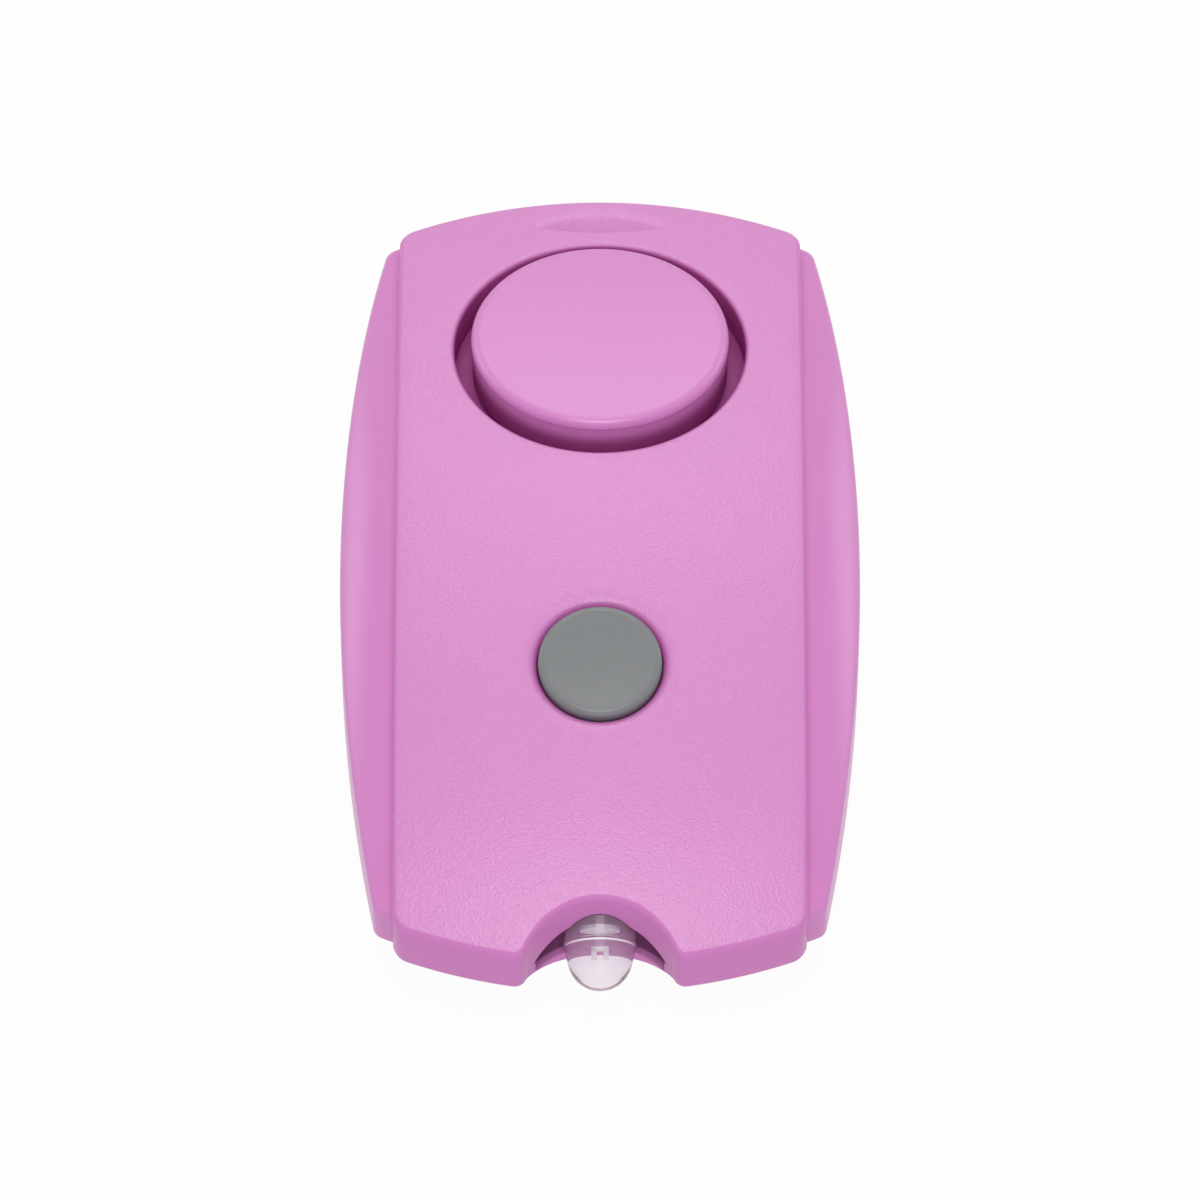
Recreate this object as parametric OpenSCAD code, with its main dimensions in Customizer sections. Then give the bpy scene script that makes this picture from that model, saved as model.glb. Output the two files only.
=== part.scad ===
// Personal safety alarm: siren, torch light and press button in a two-part pebble case.
// Millimetres, +Z up. It lies on its back, with the torch light at -Y and the pin socket at +Y.

/* [Case outline] */
// Length of the raised front panel
panel_length = 65.5; // [63:0.1:72]
// Width of the raised front panel
panel_width = 29.2; // [28.4:0.1:31]
// Widest width across both wings
body_width = 37.2; // [36:0.1:42]
// Radius of the barrel curve of the long sides
barrel_radius = 145; // [125:1:180]
// Radius of the curved ends
end_radius = 38; // [35:0.5:48]
// Distance that the wings stop short of the panel's ends
wing_setback = 1.1; // [0.6:0.1:2]
// Rounding of the outline's corners
corner_radius = 1; // [0.5:0.1:1.6]

/* [Front cover] */
// Radius of the ball-shaped crown of the front panel
crown_radius = 100; // [92:1:125]
// Height from the seam to the top of the crown
cover_height = 9.6; // [9.4:0.1:12]
// Wall of the front cover
cover_wall = 1.5; // [1.2:0.1:1.7]
// Rounding of the panel's upper edge
panel_edge_radius = 0.8; // [0.4:0.1:1.2]
// Depth of the wings' top below the crown
shoulder_drop = 2.6; // [2.2:0.1:3.2]
// Radius of the wings' shoulders
shoulder_radius = 7; // [5.5:0.5:9]
// Distance under the panel at which the shoulders start to fall
shoulder_tuck = 1.2; // [0.6:0.1:2]

/* [Rear shell] */
// Height of the seam above the flat back
rear_depth = 6.9; // [6.6:0.1:8]
// Wall of the rear shell
rear_wall = 1.4; // [1.1:0.1:1.6]
// Rounding of the long sides of the back
side_rounding = 6.5; // [5.5:0.1:6.5]
// Slope of the bevelled ends of the back, in degrees
end_bevel = 26.5; // [24:0.5:30]
// Upright rim between the seam and the bevelled ends
rear_rim = 0.3; // [0.2:0.1:0.8]

/* [Siren] */
// Distance from the panel's end to the middle of the siren
siren_margin = 15.45; // [15:0.05:15.9]
// Diameter of the siren's recess
recess_diameter = 21; // [20.4:0.1:21.6]
// Depth of the recess below the crown
recess_depth = 3.4; // [3:0.1:3.8]
// Wall round the recess
recess_wall = 1.2; // [1:0.1:1.4]
// Thickness of the floor of the recess
recess_floor = 1; // [0.8:0.1:1.2]
// Bevel of the recess's rim
recess_bevel = 0.3; // [0.2:0.05:0.5]
// Width of the recess's floor outside the sound slots
sound_rim = 1.9; // [1.6:0.1:2.4]
// Length of a sound slot, towards the middle
sound_slot_length = 3.4; // [2.6:0.1:3.8]
// Width of a sound slot, in degrees
sound_slot_angle = 40; // [30:1:44]
// Diameter of the siren cap
cap_diameter = 18.6; // [17:0.1:19.4]
// Height of the cap's edge above the crown
cap_proud = 1.05; // [0.8:0.05:1.6]
// Thickness of the cap at its edge
cap_thickness = 2.4; // [2:0.1:2.6]
// Rounding of the cap's edge
cap_edge_radius = 0.9; // [0.5:0.1:1.2]
// Radius of the cap's slightly domed top
cap_dome_radius = 160; // [100:5:300]
// Diameter of the cap's post
cap_post_diameter = 4; // [3.4:0.1:4.4]
// Length of the cap's post behind the floor of the recess
cap_post_end = 0.3; // [0.2:0.05:0.5]
// Distance that the cap's ribs stop short of the recess's wall
cap_rib_margin = 2.6; // [2.2:0.1:3.2]
// Thickness of the cap's ribs
cap_rib = 1; // [0.8:0.1:1.4]
// Diameter of the sounder's brass plate
plate_diameter = 20; // [19.2:0.1:20.6]
// Thickness of the sounder's brass plate
plate_thickness = 0.25; // [0.2:0.05:0.4]
// Diameter of the sounder's ceramic disc
ceramic_diameter = 14; // [12:0.5:15]
// Thickness of the sounder's ceramic disc
ceramic_thickness = 0.25; // [0.2:0.05:0.4]
// Height of the rubber ring in front of the sounder
gasket_height = 0.8; // [0.6:0.1:1]
// Width of the rubber ring
gasket_width = 1.8; // [1.2:0.1:2.2]
// Height of the ring that holds the sounder
holder_height = 1; // [0.8:0.1:1.1]

/* [Button] */
// Distance from the panel's end at the light to the middle of the button
button_margin = 21.7; // [21.2:0.05:22.1]
// Diameter of the button
button_diameter = 8.7; // [8:0.1:9]
// Gap round the button
button_gap = 0.37; // [0.2:0.01:0.5]
// Width of the bevel round the button's hole
button_bevel = 0.42; // [0.2:0.02:0.6]
// Height of the button's edge above the crown
button_proud = 0.35; // [0.2:0.05:0.6]
// Rounding of the button's edge
button_edge_radius = 0.45; // [0.2:0.05:0.6]
// Depth of the dish in the button's top
button_dish = 0.2; // [0.1:0.05:0.3]
// Width of the flange that keeps the button in
button_flange = 1; // [0.8:0.1:1.2]
// Thickness of the flange
button_flange_thickness = 0.58; // [0.4:0.02:0.7]
// Travel of the button
button_travel = 0.4; // [0.2:0.05:0.45]

/* [Torch light] */
// Diameter of the light's lens
led_diameter = 5; // [4.6:0.1:5.2]
// Length of the straight part of the lens
led_barrel = 6.1; // [5.4:0.1:6.4]
// Length of the domed tip
led_dome = 3.3; // [2.9:0.1:3.6]
// Radius of the dome's flank
dome_flank_radius = 4.25; // [4:0.05:4.6]
// Radius of the dome's tip
dome_tip_radius = 2.3; // [2.1:0.05:2.5]
// Diameter of the lens's flange
led_flange_diameter = 5.8; // [5.6:0.1:6]
// Thickness of the lens's flange
led_flange = 1; // [0.8:0.1:1.2]
// Downward tilt of the light, in degrees
led_tilt = 17; // [12:1:20]
// Height of the light's dome above the seam
led_rise = 0.2; // [0:0.05:0.4]
// Distance that the dome starts in front of the notch
led_reach = 1; // [0.7:0.1:1.4]
// Gap round the lens
led_gap = 0.1; // [0.05:0.01:0.2]
// Distance between the light's two leads
lead_pitch = 2.54; // [2.3:0.01:2.8]
// Thickness of the light's leads
lead_size = 0.5; // [0.4:0.05:0.6]
// Length of the leads behind the lens
lead_run = 2.2; // [1.8:0.1:2.6]
// Depth of the lead frame's foot behind the dome
frame_depth = 2.2; // [2:0.1:2.6]
// Width of the lead frame's anvil
anvil_width = 1.7; // [1.4:0.1:1.7]
// Height of the lead frame's anvil
anvil_height = 1.6; // [1.2:0.1:1.8]
// Width of the lead frame's small post
bond_post_width = 0.75; // [0.6:0.05:0.8]
// Height of the lead frame's small post
bond_post_height = 1; // [0.8:0.1:1.4]
// Radius of the notch in the case's end
notch_radius = 5.72; // [5.4:0.02:6]
// Depth of the notch from the panel's end
notch_depth = 4.55; // [4.2:0.05:4.8]
// Wall behind the notch
notch_wall = 1.5; // [1.2:0.1:1.7]
// Height of the arched slot beside the light
slot_height = 2.37; // [2:0.05:2.6]
// Width of the arched slot at the seam
slot_width = 9.84; // [9:0.1:10.4]

/* [Pin socket and scoop] */
// Diameter of the pull-pin socket
pin_diameter = 2.6; // [2.2:0.1:2.8]
// Depth of the pull-pin socket
pin_depth = 3.4; // [3:0.1:3.5]
// Height of the pull-pin socket above the seam
pin_rise = 2.1; // [2:0.1:2.3]
// Wall round the pull-pin socket
pin_wall = 0.7; // [0.5:0.05:0.8]
// Thickness of the pin switch's leaves
pin_leaf = 0.2; // [0.15:0.05:0.3]
// Length of the leaves along the socket
leaf_length = 1.6; // [1.3:0.05:1.7]
// Height of the leaves
leaf_height = 2; // [1.6:0.1:2.2]
// Distance from the middle of the case to the end of a leaf's tail
leaf_tail = 5; // [4.6:0.1:5.4]
// Distance from the panel's end to the scoop's near edge
scoop_reach = 3.75; // [3.4:0.05:3.9]
// Distance from the panel's end to the scoop's far edge
scoop_margin = 1.65; // [1.2:0.05:2]
// Radius of the scoop's near edge
scoop_edge_radius = 16; // [12:1:24]
// Radius of the scoop's far edge
scoop_far_radius = 8.6; // [7:0.2:10]
// Radius of the scoop's hollow
scoop_hollow_radius = 26; // [22:1:34]

/* [Battery] */
// Diameter of a coin cell
cell_diameter = 20; // [18:0.1:20.4]
// Thickness of a coin cell
cell_thickness = 3.2; // [3:0.1:3.4]
// Height of a coin cell's upper cap above its can
cell_cap_height = 0.35; // [0.25:0.05:0.45]
// Distance of the upper cap from the can's edge
cell_cap_inset = 1.2; // [1:0.1:1.4]
// Distance that the can's rim turns in
cell_crimp = 0.5; // [0.4:0.05:0.6]
// Bevel of the can's lower edge
cell_bevel = 0.3; // [0.2:0.05:0.4]
// Distance of the cells from the middle of the case, towards the light
cell_y = 1.5; // [1:0.1:2]
// Gap round the cells
cell_gap = 0.4; // [0.2:0.05:0.5]
// Height left for the contact above the cells
contact_room = 0.6; // [0.5:0.05:0.8]
// Thickness of the contacts
contact_strip = 0.2; // [0.15:0.05:0.25]
// Width of the contact at the cells' side
contact_width = 3; // [2.6:0.1:3.4]
// Distance of that contact's stem from the cells' pocket
contact_stem = 0.9; // [0.8:0.05:1]
// Gap round that contact
contact_gap = 0.7; // [0.5:0.05:0.8]
// Radius of the hole in the contact above the cells
contact_eye = 1; // [0.8:0.1:1.2]
// Radius of the seat of the contact above the cells
contact_seat = 2.2; // [2:0.1:2.6]
// Radius at which that contact's foot starts
contact_foot_start = 5; // [4.6:0.1:5.4]
// Radius of that contact's foot
contact_foot = 6.4; // [6:0.1:6.8]
// Wall round the cells above the door's lugs
pocket_wall = 3.2; // [3:0.1:3.4]
// Diameter of the battery door
door_diameter = 22.4; // [22.2:0.1:22.8]
// Thickness of the battery door
door_thickness = 1.4; // [1.2:0.1:1.6]
// Gap round the battery door
door_gap = 0.15; // [0.1:0.01:0.2]
// Wall of the door's raised rim
door_rim = 0.6; // [0.5:0.05:0.7]
// Distance that the door's lugs reach under the shell
lug_reach = 1.2; // [0.8:0.1:1.2]
// Height of the door's lugs
lug_height = 0.85; // [0.7:0.05:1]
// Gap above and below the lugs
lug_gap = 0.12; // [0.1:0.01:0.16]
// Gap round the lugs
lug_side_gap = 0.2; // [0.1:0.02:0.3]
// Play of a lug in its entry, in degrees
lug_play = 4; // [3:1:6]
// Width of a lug, in degrees
lug_angle = 26; // [20:1:30]
// Turn that frees the door, in degrees
door_turn = 45; // [40:1:60]
// Length of the coin slot in the door
coin_slot_length = 12; // [9:0.5:14]
// Width of the coin slot
coin_slot_width = 1.7; // [1.4:0.1:2]
// Depth of the coin slot
coin_slot_depth = 0.7; // [0.5:0.05:0.8]

/* [Electronics] */
// Thickness of the circuit board
board_thickness = 0.8; // [0.6:0.1:1]
// Width of the circuit board
board_width = 21.2; // [20:0.1:21.6]
// Distance from the middle of the siren to the board's end
board_margin = 10.3; // [9.9:0.1:11]
// Width of the board across its two ears
ear_width = 24.8; // [24.4:0.1:25.2]
// Length of the board's ears
ear_length = 12; // [10:0.5:13]
// Side of the square push switch
switch_side = 6; // [5:0.1:6.2]
// Height of the push switch's body
switch_height = 3.3; // [3:0.1:3.4]
// Thickness of the push switch's floor
switch_floor = 1; // [0.8:0.1:1.2]
// Diameter of the switch's plunger
plunger_diameter = 3.5; // [3:0.1:3.6]
// Height of the plunger above the switch's body
plunger_proud = 0.8; // [0.6:0.05:0.85]
// Distance of the coil, chip and capacitor from the middle of the board
parts_x = 6; // [5.6:0.1:6.2]
// Diameter of the step-up coil's core
coil_diameter = 6; // [5:0.1:6.4]
// Height of the step-up coil
coil_height = 4; // [3.4:0.1:4.2]
// Thickness of the coil core's two lips
coil_lip = 0.8; // [0.6:0.05:1]
// Diameter of the coil core's middle
coil_middle = 3; // [2.6:0.1:3.4]
// Distance of the winding inside the lips
coil_inset = 0.4; // [0.2:0.05:0.6]
// Diameter of the capacitor
capacitor_diameter = 4; // [3.6:0.1:4.4]
// Height of the capacitor
capacitor_height = 3.2; // [2.8:0.1:3.3]
// Length of the driver chip
chip_length = 5; // [4.4:0.1:5.4]
// Width of the driver chip
chip_width = 4; // [3.6:0.1:4.4]
// Height of the driver chip
chip_height = 1.5; // [1.2:0.1:1.8]
// Length of a small chip part
small_part_length = 2; // [1.6:0.1:2.2]
// Width of a small chip part
small_part_width = 1.2; // [1:0.1:1.4]
// Height of a small chip part
small_part_height = 0.5; // [0.4:0.05:0.7]
// Distance between the small chip parts
small_part_pitch = 3; // [2.6:0.1:3.4]
// Length of the transistor
transistor_length = 3; // [2.6:0.1:3.2]
// Width of the transistor
transistor_width = 1.6; // [1.4:0.1:1.8]
// Height of the transistor
transistor_height = 1.1; // [0.9:0.1:1.3]
// Distance of the board's posts from the middle of the case
post_x = 9; // [8.6:0.1:9.2]
// Diameter of the board's posts
post_diameter = 2.2; // [1.8:0.1:2.4]
// Diameter of the inner wires
wire_diameter = 0.6; // [0.5:0.05:0.7]

/* [Screws] */
// Diameter of a case screw's shank
screw_diameter = 2; // [1.8:0.1:2.2]
// Diameter of a case screw's head
screw_head_diameter = 3.8; // [3.4:0.1:4]
// Height of a case screw's head
screw_head_height = 1.3; // [1:0.1:1.4]
// Height of the screw's seat above the back
screw_seat = 3.6; // [3.2:0.1:4]
// Length of a case screw below its head
screw_length = 7; // [6:0.1:7.2]
// Distance of the screws from the widest side
screw_inset = 5.4; // [5.2:0.1:5.6]
// Distance of the screws by the siren from the middle of the case
screw_back_y = 9.5; // [9:0.1:10]
// Distance of the screws by the light from the middle of the case
screw_front_y = 15.5; // [15:0.1:17]
// Gap round the screws
screw_gap = 0.1; // [0.05:0.01:0.2]
// Wall of the screw bosses
boss_wall = 1; // [0.8:0.1:1.1]
// Width of the cross in the screw's head
cross_width = 0.5; // [0.4:0.05:0.6]
// Depth of the cross
cross_depth = 0.7; // [0.5:0.05:0.8]
// Length of the cross
cross_length = 2.3; // [2:0.1:2.6]

/* [Hidden] */
$fn = 96;
// Steps round the large curves
fine = 360;
// Overlap that makes a cut or a join clean
eps = 0.02;
// Room that cutters reach past the case
past = 5;
// Distance that a cut runs past a wall
through = 1;
// Small gap between pieces that rest on each other
seat_gap = 0.05;
// Least gap where a wire or a contact meets what it is joined to
touch = 0.02;
// Gap round the pin switch's leaves
leaf_gap = 0.1;
// Gap round the light's leads, the switch's plunger and the button's flange
small_gap = 0.1;
// Gap round the sounder's plate
plate_gap = 0.15;
// Room past the end of a screw
screw_end_gap = 0.3;
// Slope of the bevel round the button's hole
bevel_slope = 0.7;
// Turn of the case's long sides that the sweep covers, in degrees
barrel_span = 40;
// Number of sound slots, cap ribs and door lugs
sound_slots = 6;
cap_ribs = 3;
door_lugs = 3;
// Swelling of a wire at its bends
bend_swell = 1.1;

// Colours of the pieces
pink = [0.87, 0.58, 0.81];
grey = [0.53, 0.55, 0.57];
clear = [0.92, 0.9, 0.95, 0.5];
brass = [0.8, 0.66, 0.36];
steel = [0.75, 0.76, 0.78];
white = [0.93, 0.92, 0.88];
black = [0.12, 0.12, 0.13];
green = [0.1, 0.36, 0.2];
copper = [0.72, 0.42, 0.24];

// Heights of the case
z_split = rear_depth;
z_crown = rear_depth + cover_height;
crown_centre = z_crown - crown_radius;
panel_half = panel_width / 2;
end_y = panel_length / 2;
end_centre = end_radius - end_y;
barrel_centre = barrel_radius - body_width / 2;
shoulder_x = panel_half - shoulder_tuck;
crown_span = 2 * asin(end_y / crown_radius) + 12;
section_floor = crown_radius - cover_height - past;
siren_y = end_y - siren_margin;
button_y = end_y - button_margin;
board_end = siren_y - board_margin;

// Places along the case
notch_y = -end_y + notch_depth - notch_radius;
led_y = -end_y + notch_depth - led_reach;
led_z = z_split + led_rise;
cells_y = -cell_y;
button_tilt = asin(-button_y / crown_radius);
button_z = crown_centre + crown_radius * cos(button_tilt);

// Heights inside
cell_1_z = door_thickness;
cell_2_z = cell_1_z + cell_thickness;
cells_top = cell_2_z + cell_thickness;
board_z = cells_top + contact_room;
board_top = board_z + board_thickness;
pocket_radius = cell_diameter / 2 + cell_gap;
pocket_outer = pocket_radius + pocket_wall;
door_radius = door_diameter / 2;
lug_radius = door_radius + lug_reach;
lug_z = rear_wall + lug_gap;
lug_room = lug_z + lug_height + lug_gap;

// Siren heights, measured along the crown's normal at the siren
floor_top = -recess_depth;
floor_under = floor_top - recess_floor;
plate_top = floor_under - gasket_height;
plate_under = plate_top - plate_thickness;
ceramic_under = plate_under - ceramic_thickness;
holder_top = plate_under - seat_gap;
holder_under = holder_top - holder_height;
recess_radius = recess_diameter / 2;
siren_outer = recess_radius + recess_wall;
cap_radius = cap_diameter / 2;
cap_under = cap_proud - cap_thickness;
plate_radius = plate_diameter / 2;
siren_tilt = asin(siren_y / crown_radius);

// Button heights, measured along the crown's normal at the button
button_radius = button_diameter / 2;
button_hole = button_radius + button_gap;
flange_radius = button_hole + button_flange - button_gap;
flange_sag = crown_radius - cover_wall - sqrt(pow(crown_radius - cover_wall, 2) - pow(flange_radius, 2));
flange_top = -cover_wall - flange_sag - small_gap;
button_under = flange_top - button_flange_thickness;
switch_y = -button_y + button_under * sin(button_tilt);
plunger_top = board_top + switch_height + plunger_proud;
plunger_base = board_top + switch_floor + button_travel + small_gap;

// Torch light
led_radius = led_diameter / 2;
led_back = [0, led_y + led_barrel * cos(led_tilt), led_z + led_barrel * sin(led_tilt)];
lead_bend = led_back + lead_run * [0, cos(led_tilt), sin(led_tilt)];
board_front = lead_bend.y + small_gap;
lead_hole_y = board_front + 2 * lead_size;
slot_radius = (pow(slot_width / 2, 2) + pow(slot_height, 2)) / (2 * slot_height);

// Pin socket
pin_z = z_split + pin_rise;
pin_inner = end_y - pin_depth;
leaf_x = pin_diameter / 2 + seat_gap;

// Screws
screw_x = body_width / 2 - screw_inset;
screw_places = [
    [screw_x, screw_back_y], [-screw_x, screw_back_y], [screw_x, -screw_front_y], [-screw_x, -screw_front_y]
];
screw_radius = screw_diameter / 2;
boss_radius = screw_radius + screw_gap + boss_wall;
column_radius = screw_head_diameter / 2 + screw_gap + boss_wall;
post_front = board_front + post_diameter;
post_back = board_end - 1.6 * post_diameter;
post_places = [[post_x, post_front], [-post_x, post_front], [post_x, post_back], [-post_x, post_back]];
coil_place = [parts_x, cells_y, board_top];

// The place where two circles meet, on the left of the line from the first to the second
function meet(p, rp, q, rq) =
    let (d = norm(q - p), u = (q - p) / d, a = (rp * rp - rq * rq + d * d) / (2 * d))
    p + a * u + sqrt(rp * rp - a * a) * [-u.y, u.x];

// Angle of the line from one point to another
function heading(from, to) = atan2(to.y - from.y, to.x - from.x);

// Copies in all four quarters of the plan
module four_ways() {
    for (a = [0, 1], b = [0, 1])
        mirror([a, 0, 0])
            mirror([0, b, 0])
                children();
}

// A place on the crown, with Z along the crown's normal there
module at_crown(y) {
    translate([0, 0, crown_centre])
        rotate([-asin(y / crown_radius), 0, 0])
            translate([0, 0, crown_radius])
                children();
}

// The light's own frame: Z along its beam, origin where its dome starts
module at_light() {
    translate([0, led_y, led_z])
        rotate([90 + led_tilt, 0, 0])
            children();
}

// What is cut off a corner to round it between two directions
module corner_waste(centre, r, a0, a1) {
    middle = (a0 + a1) / 2;
    difference() {
        polygon([
            centre,
            centre + 3 * r * [cos(a0), sin(a0)],
            centre + 5 * r * [cos(middle), sin(middle)],
            centre + 3 * r * [cos(a1), sin(a1)]
        ]);
        translate(centre)
            circle(r);
    }
}

// A ring, or a part of one
module ring(outer, inner, height) {
    difference() {
        cylinder(r = outer, h = height);
        translate([0, 0, -through])
            cylinder(r = inner, h = height + 2 * through);
    }
}

// A slice of pie in the plan, centred on +X
module sector(radius, angle) {
    polygon([
        [0, 0],
        radius * [cos(angle / 2), -sin(angle / 2)],
        radius * 1.2 * [1, 0],
        radius * [cos(angle / 2), sin(angle / 2)]
    ]);
}

// A round wire through a list of points
module wire(points, diameter) {
    for (i = [0 : len(points) - 2]) {
        run = points[i + 1] - points[i];
        translate(points[i])
            rotate([0, acos(run.z / norm(run)), atan2(run.y, run.x)])
                cylinder(d = diameter, h = norm(run), $fn = 32);
        if (i > 0)
            translate(points[i])
                sphere(d = bend_swell * diameter, $fn = 32);
    }
}

// Turns a profile of radius and side distance about the X axis through the crown's centre
module across_crown() {
    translate([0, 0, crown_centre])
        rotate([0, 90, 0])
            rotate([0, 0, 180 - crown_span / 2])
                rotate_extrude(angle = crown_span, $fn = fine)
                    children();
}

// Section of the raised panel across the case
module panel_section() {
    r = panel_edge_radius;
    centre = [sqrt(pow(crown_radius - r, 2) - pow(panel_half - r, 2)), panel_half - r];
    difference() {
        intersection() {
            circle(crown_radius, $fn = fine);
            translate([section_floor, -panel_half])
                square([crown_radius, panel_width]);
        }
        for (side = [0, 1])
            mirror([0, side])
                corner_waste(centre, r, atan2(centre.y, centre.x), 90);
    }
}

// Section of the panel along the case, from the end's own centre
module panel_end_section() {
    r = panel_edge_radius;
    crown_at = [end_centre, crown_centre];
    centre = [
        end_radius - r,
        crown_centre + sqrt(pow(crown_radius - r, 2) - pow(end_radius - r - end_centre, 2))
    ];
    difference() {
        intersection() {
            translate(crown_at)
                circle(crown_radius, $fn = fine);
            translate([0, z_split])
                square([end_radius, cover_height + past]);
        }
        corner_waste(centre, r, 0, heading(crown_at, centre));
    }
}

// The raised panel with rounded upper edges
module panel_solid() {
    corner = [
        panel_half - corner_radius,
        sqrt(pow(end_radius - corner_radius, 2) - pow(panel_half - corner_radius, 2)) - end_centre
    ];
    difference() {
        intersection() {
            across_crown()
                panel_section();
            intersection_for(end = [0, 1])
                mirror([0, end, 0])
                    translate([0, -end_centre, 0])
                        rotate_extrude($fn = fine)
                            panel_end_section();
        }
        translate([0, 0, z_split - through])
            linear_extrude(cover_height + past)
                four_ways()
                    corner_waste(corner, corner_radius, 0, heading([0, -end_centre], corner));
    }
}

// Plan of the panel, drawn in by a distance
module panel_plan(inset) {
    intersection() {
        intersection_for(end = [-1, 1])
            translate([0, end * end_centre])
                circle(end_radius - inset, $fn = fine);
        square([panel_width - 2 * inset, panel_length], center = true);
    }
}

// Plan of the wings, drawn in by a distance
module wing_plan(inset) {
    side = barrel_radius - inset;
    tip = end_radius - wing_setback - inset;
    r = corner_radius;
    corner = meet([-barrel_centre, 0], side - r, [0, -end_centre], tip - r);
    difference() {
        intersection() {
            intersection_for(s = [-1, 1])
                translate([s * barrel_centre, 0])
                    circle(side, $fn = fine);
            intersection_for(s = [-1, 1])
                translate([0, s * end_centre])
                    circle(tip, $fn = fine);
        }
        four_ways()
            corner_waste(corner, r, heading([-barrel_centre, 0], corner), heading([0, -end_centre], corner));
    }
}

// Section of the wings across the case
module shoulder_section(inset) {
    top = crown_radius - shoulder_drop;
    r = shoulder_radius - inset;
    translate([section_floor, -shoulder_x])
        square([top - inset - section_floor, 2 * shoulder_x]);
    translate([section_floor, -shoulder_x - r])
        square([top - shoulder_radius - section_floor, 2 * (shoulder_x + r)]);
    for (s = [-1, 1])
        translate([top - shoulder_radius, s * shoulder_x])
            circle(r);
}

// The case's front body with both wings
module wing_solid(inset, bottom) {
    intersection() {
        across_crown()
            shoulder_section(inset);
        translate([0, 0, bottom])
            linear_extrude(cover_height + past)
                wing_plan(inset);
    }
}

// Section of the rear shell along the case, from the end's own centre
module rear_end_section(inset) {
    slope = tan(end_bevel);
    edge = end_radius - inset;
    lift = inset / cos(end_bevel) - rear_rim;
    foot = end_radius - (z_split + lift - inset) / slope;
    polygon([
        [0, inset], [foot, inset], [edge, z_split + lift - inset * slope],
        [edge, z_split + through], [0, z_split + through]
    ]);
}

// Section of the rear shell across the case, from the barrel curve's centre
module rear_side_section(inset) {
    r = side_rounding - inset;
    middle = barrel_radius - side_rounding;
    translate([barrel_centre - body_width, inset])
        square([body_width + middle - barrel_centre, z_split + through - inset]);
    translate([middle, side_rounding])
        circle(r);
    translate([middle, side_rounding])
        square([r, z_split + through - side_rounding]);
}

// The rear shell's form, drawn in by a distance
module rear_solid(inset, top) {
    intersection() {
        intersection_for(end = [0, 1])
            mirror([0, end, 0])
                translate([0, -end_centre, 0])
                    rotate_extrude($fn = fine)
                        rear_end_section(inset);
        intersection_for(side = [0, 1])
            mirror([side, 0, 0])
                translate([-barrel_centre, 0, 0])
                    rotate([0, 0, -barrel_span / 2])
                        rotate_extrude(angle = barrel_span, $fn = fine)
                            rear_side_section(inset);
        linear_extrude(top)
            union() {
                panel_plan(inset);
                wing_plan(inset);
            }
    }
}

// The notch for the light, as an upright cylinder
module notch(radius) {
    translate([0, notch_y, -past])
        cylinder(r = radius, h = z_crown + 2 * past);
}

// The hole for the light's lens
module light_hole() {
    at_light()
        translate([0, 0, -led_barrel + led_flange])
            cylinder(r = led_radius + led_gap, h = led_barrel + led_dome + past);
}

// What is cut out of the panel for the scoop at its end
module scoop() {
    hollow_y = end_y - scoop_margin - scoop_far_radius;
    near_y = end_y - scoop_reach;
    intersection() {
        at_crown(hollow_y)
            translate([0, 0, sqrt(pow(scoop_hollow_radius, 2) - pow(scoop_far_radius, 2))])
                sphere(scoop_hollow_radius, $fn = fine);
        translate([0, near_y + scoop_edge_radius, 0])
            cylinder(r = scoop_edge_radius, h = z_crown + past);
    }
}

// The hollow inside the front cover
module cover_cavity() {
    difference() {
        union() {
            intersection() {
                translate([0, 0, crown_centre])
                    sphere(crown_radius - cover_wall, $fn = fine);
                translate([0, 0, z_split - through])
                    linear_extrude(cover_height + past)
                        panel_plan(cover_wall);
            }
            wing_solid(cover_wall, z_split - through);
        }
        notch(notch_radius + notch_wall);
    }
}

// The solid cup of the siren under the panel
module siren_cup() {
    at_crown(siren_y)
        translate([0, 0, holder_top])
            cylinder(r = siren_outer, h = -holder_top);
}

// Bosses and posts under the front cover
module cover_bosses() {
    reach = z_crown - z_split;
    for (p = screw_places)
        translate([p.x, p.y, z_split])
            cylinder(r = boss_radius, h = reach);
    for (p = post_places)
        translate([p.x, p.y, board_top])
            cylinder(d = post_diameter, h = z_crown - board_top);
    translate([0, pin_inner, pin_z])
        rotate([-90, 0, 0])
            cylinder(r = pin_diameter / 2 + pin_wall, h = pin_depth);
}

// Everything that is cut out of the siren cup
module siren_cuts() {
    rim = -pow(recess_radius, 2) / (2 * crown_radius) - recess_bevel;
    slot_outer = recess_radius - sound_rim;
    at_crown(siren_y) {
        translate([0, 0, floor_top])
            cylinder(r = recess_radius, h = past - floor_top);
        translate([0, 0, rim])
            cylinder(r1 = recess_radius, r2 = recess_radius + recess_bevel + past, h = recess_bevel + past);
        translate([0, 0, holder_top - through])
            cylinder(r = plate_radius + plate_gap, h = floor_under - holder_top + through);
        translate([0, 0, floor_under - through])
            cylinder(d = cap_post_diameter + 2 * seat_gap, h = recess_floor + 2 * through);
        for (i = [1 : sound_slots])
            rotate([0, 0, 360 / sound_slots * i])
                translate([0, 0, floor_under - through])
                    linear_extrude(recess_floor + 2 * through)
                        intersection() {
                            difference() {
                                circle(slot_outer);
                                circle(slot_outer - sound_slot_length);
                            }
                            sector(recess_diameter, sound_slot_angle);
                        }
    }
}

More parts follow.
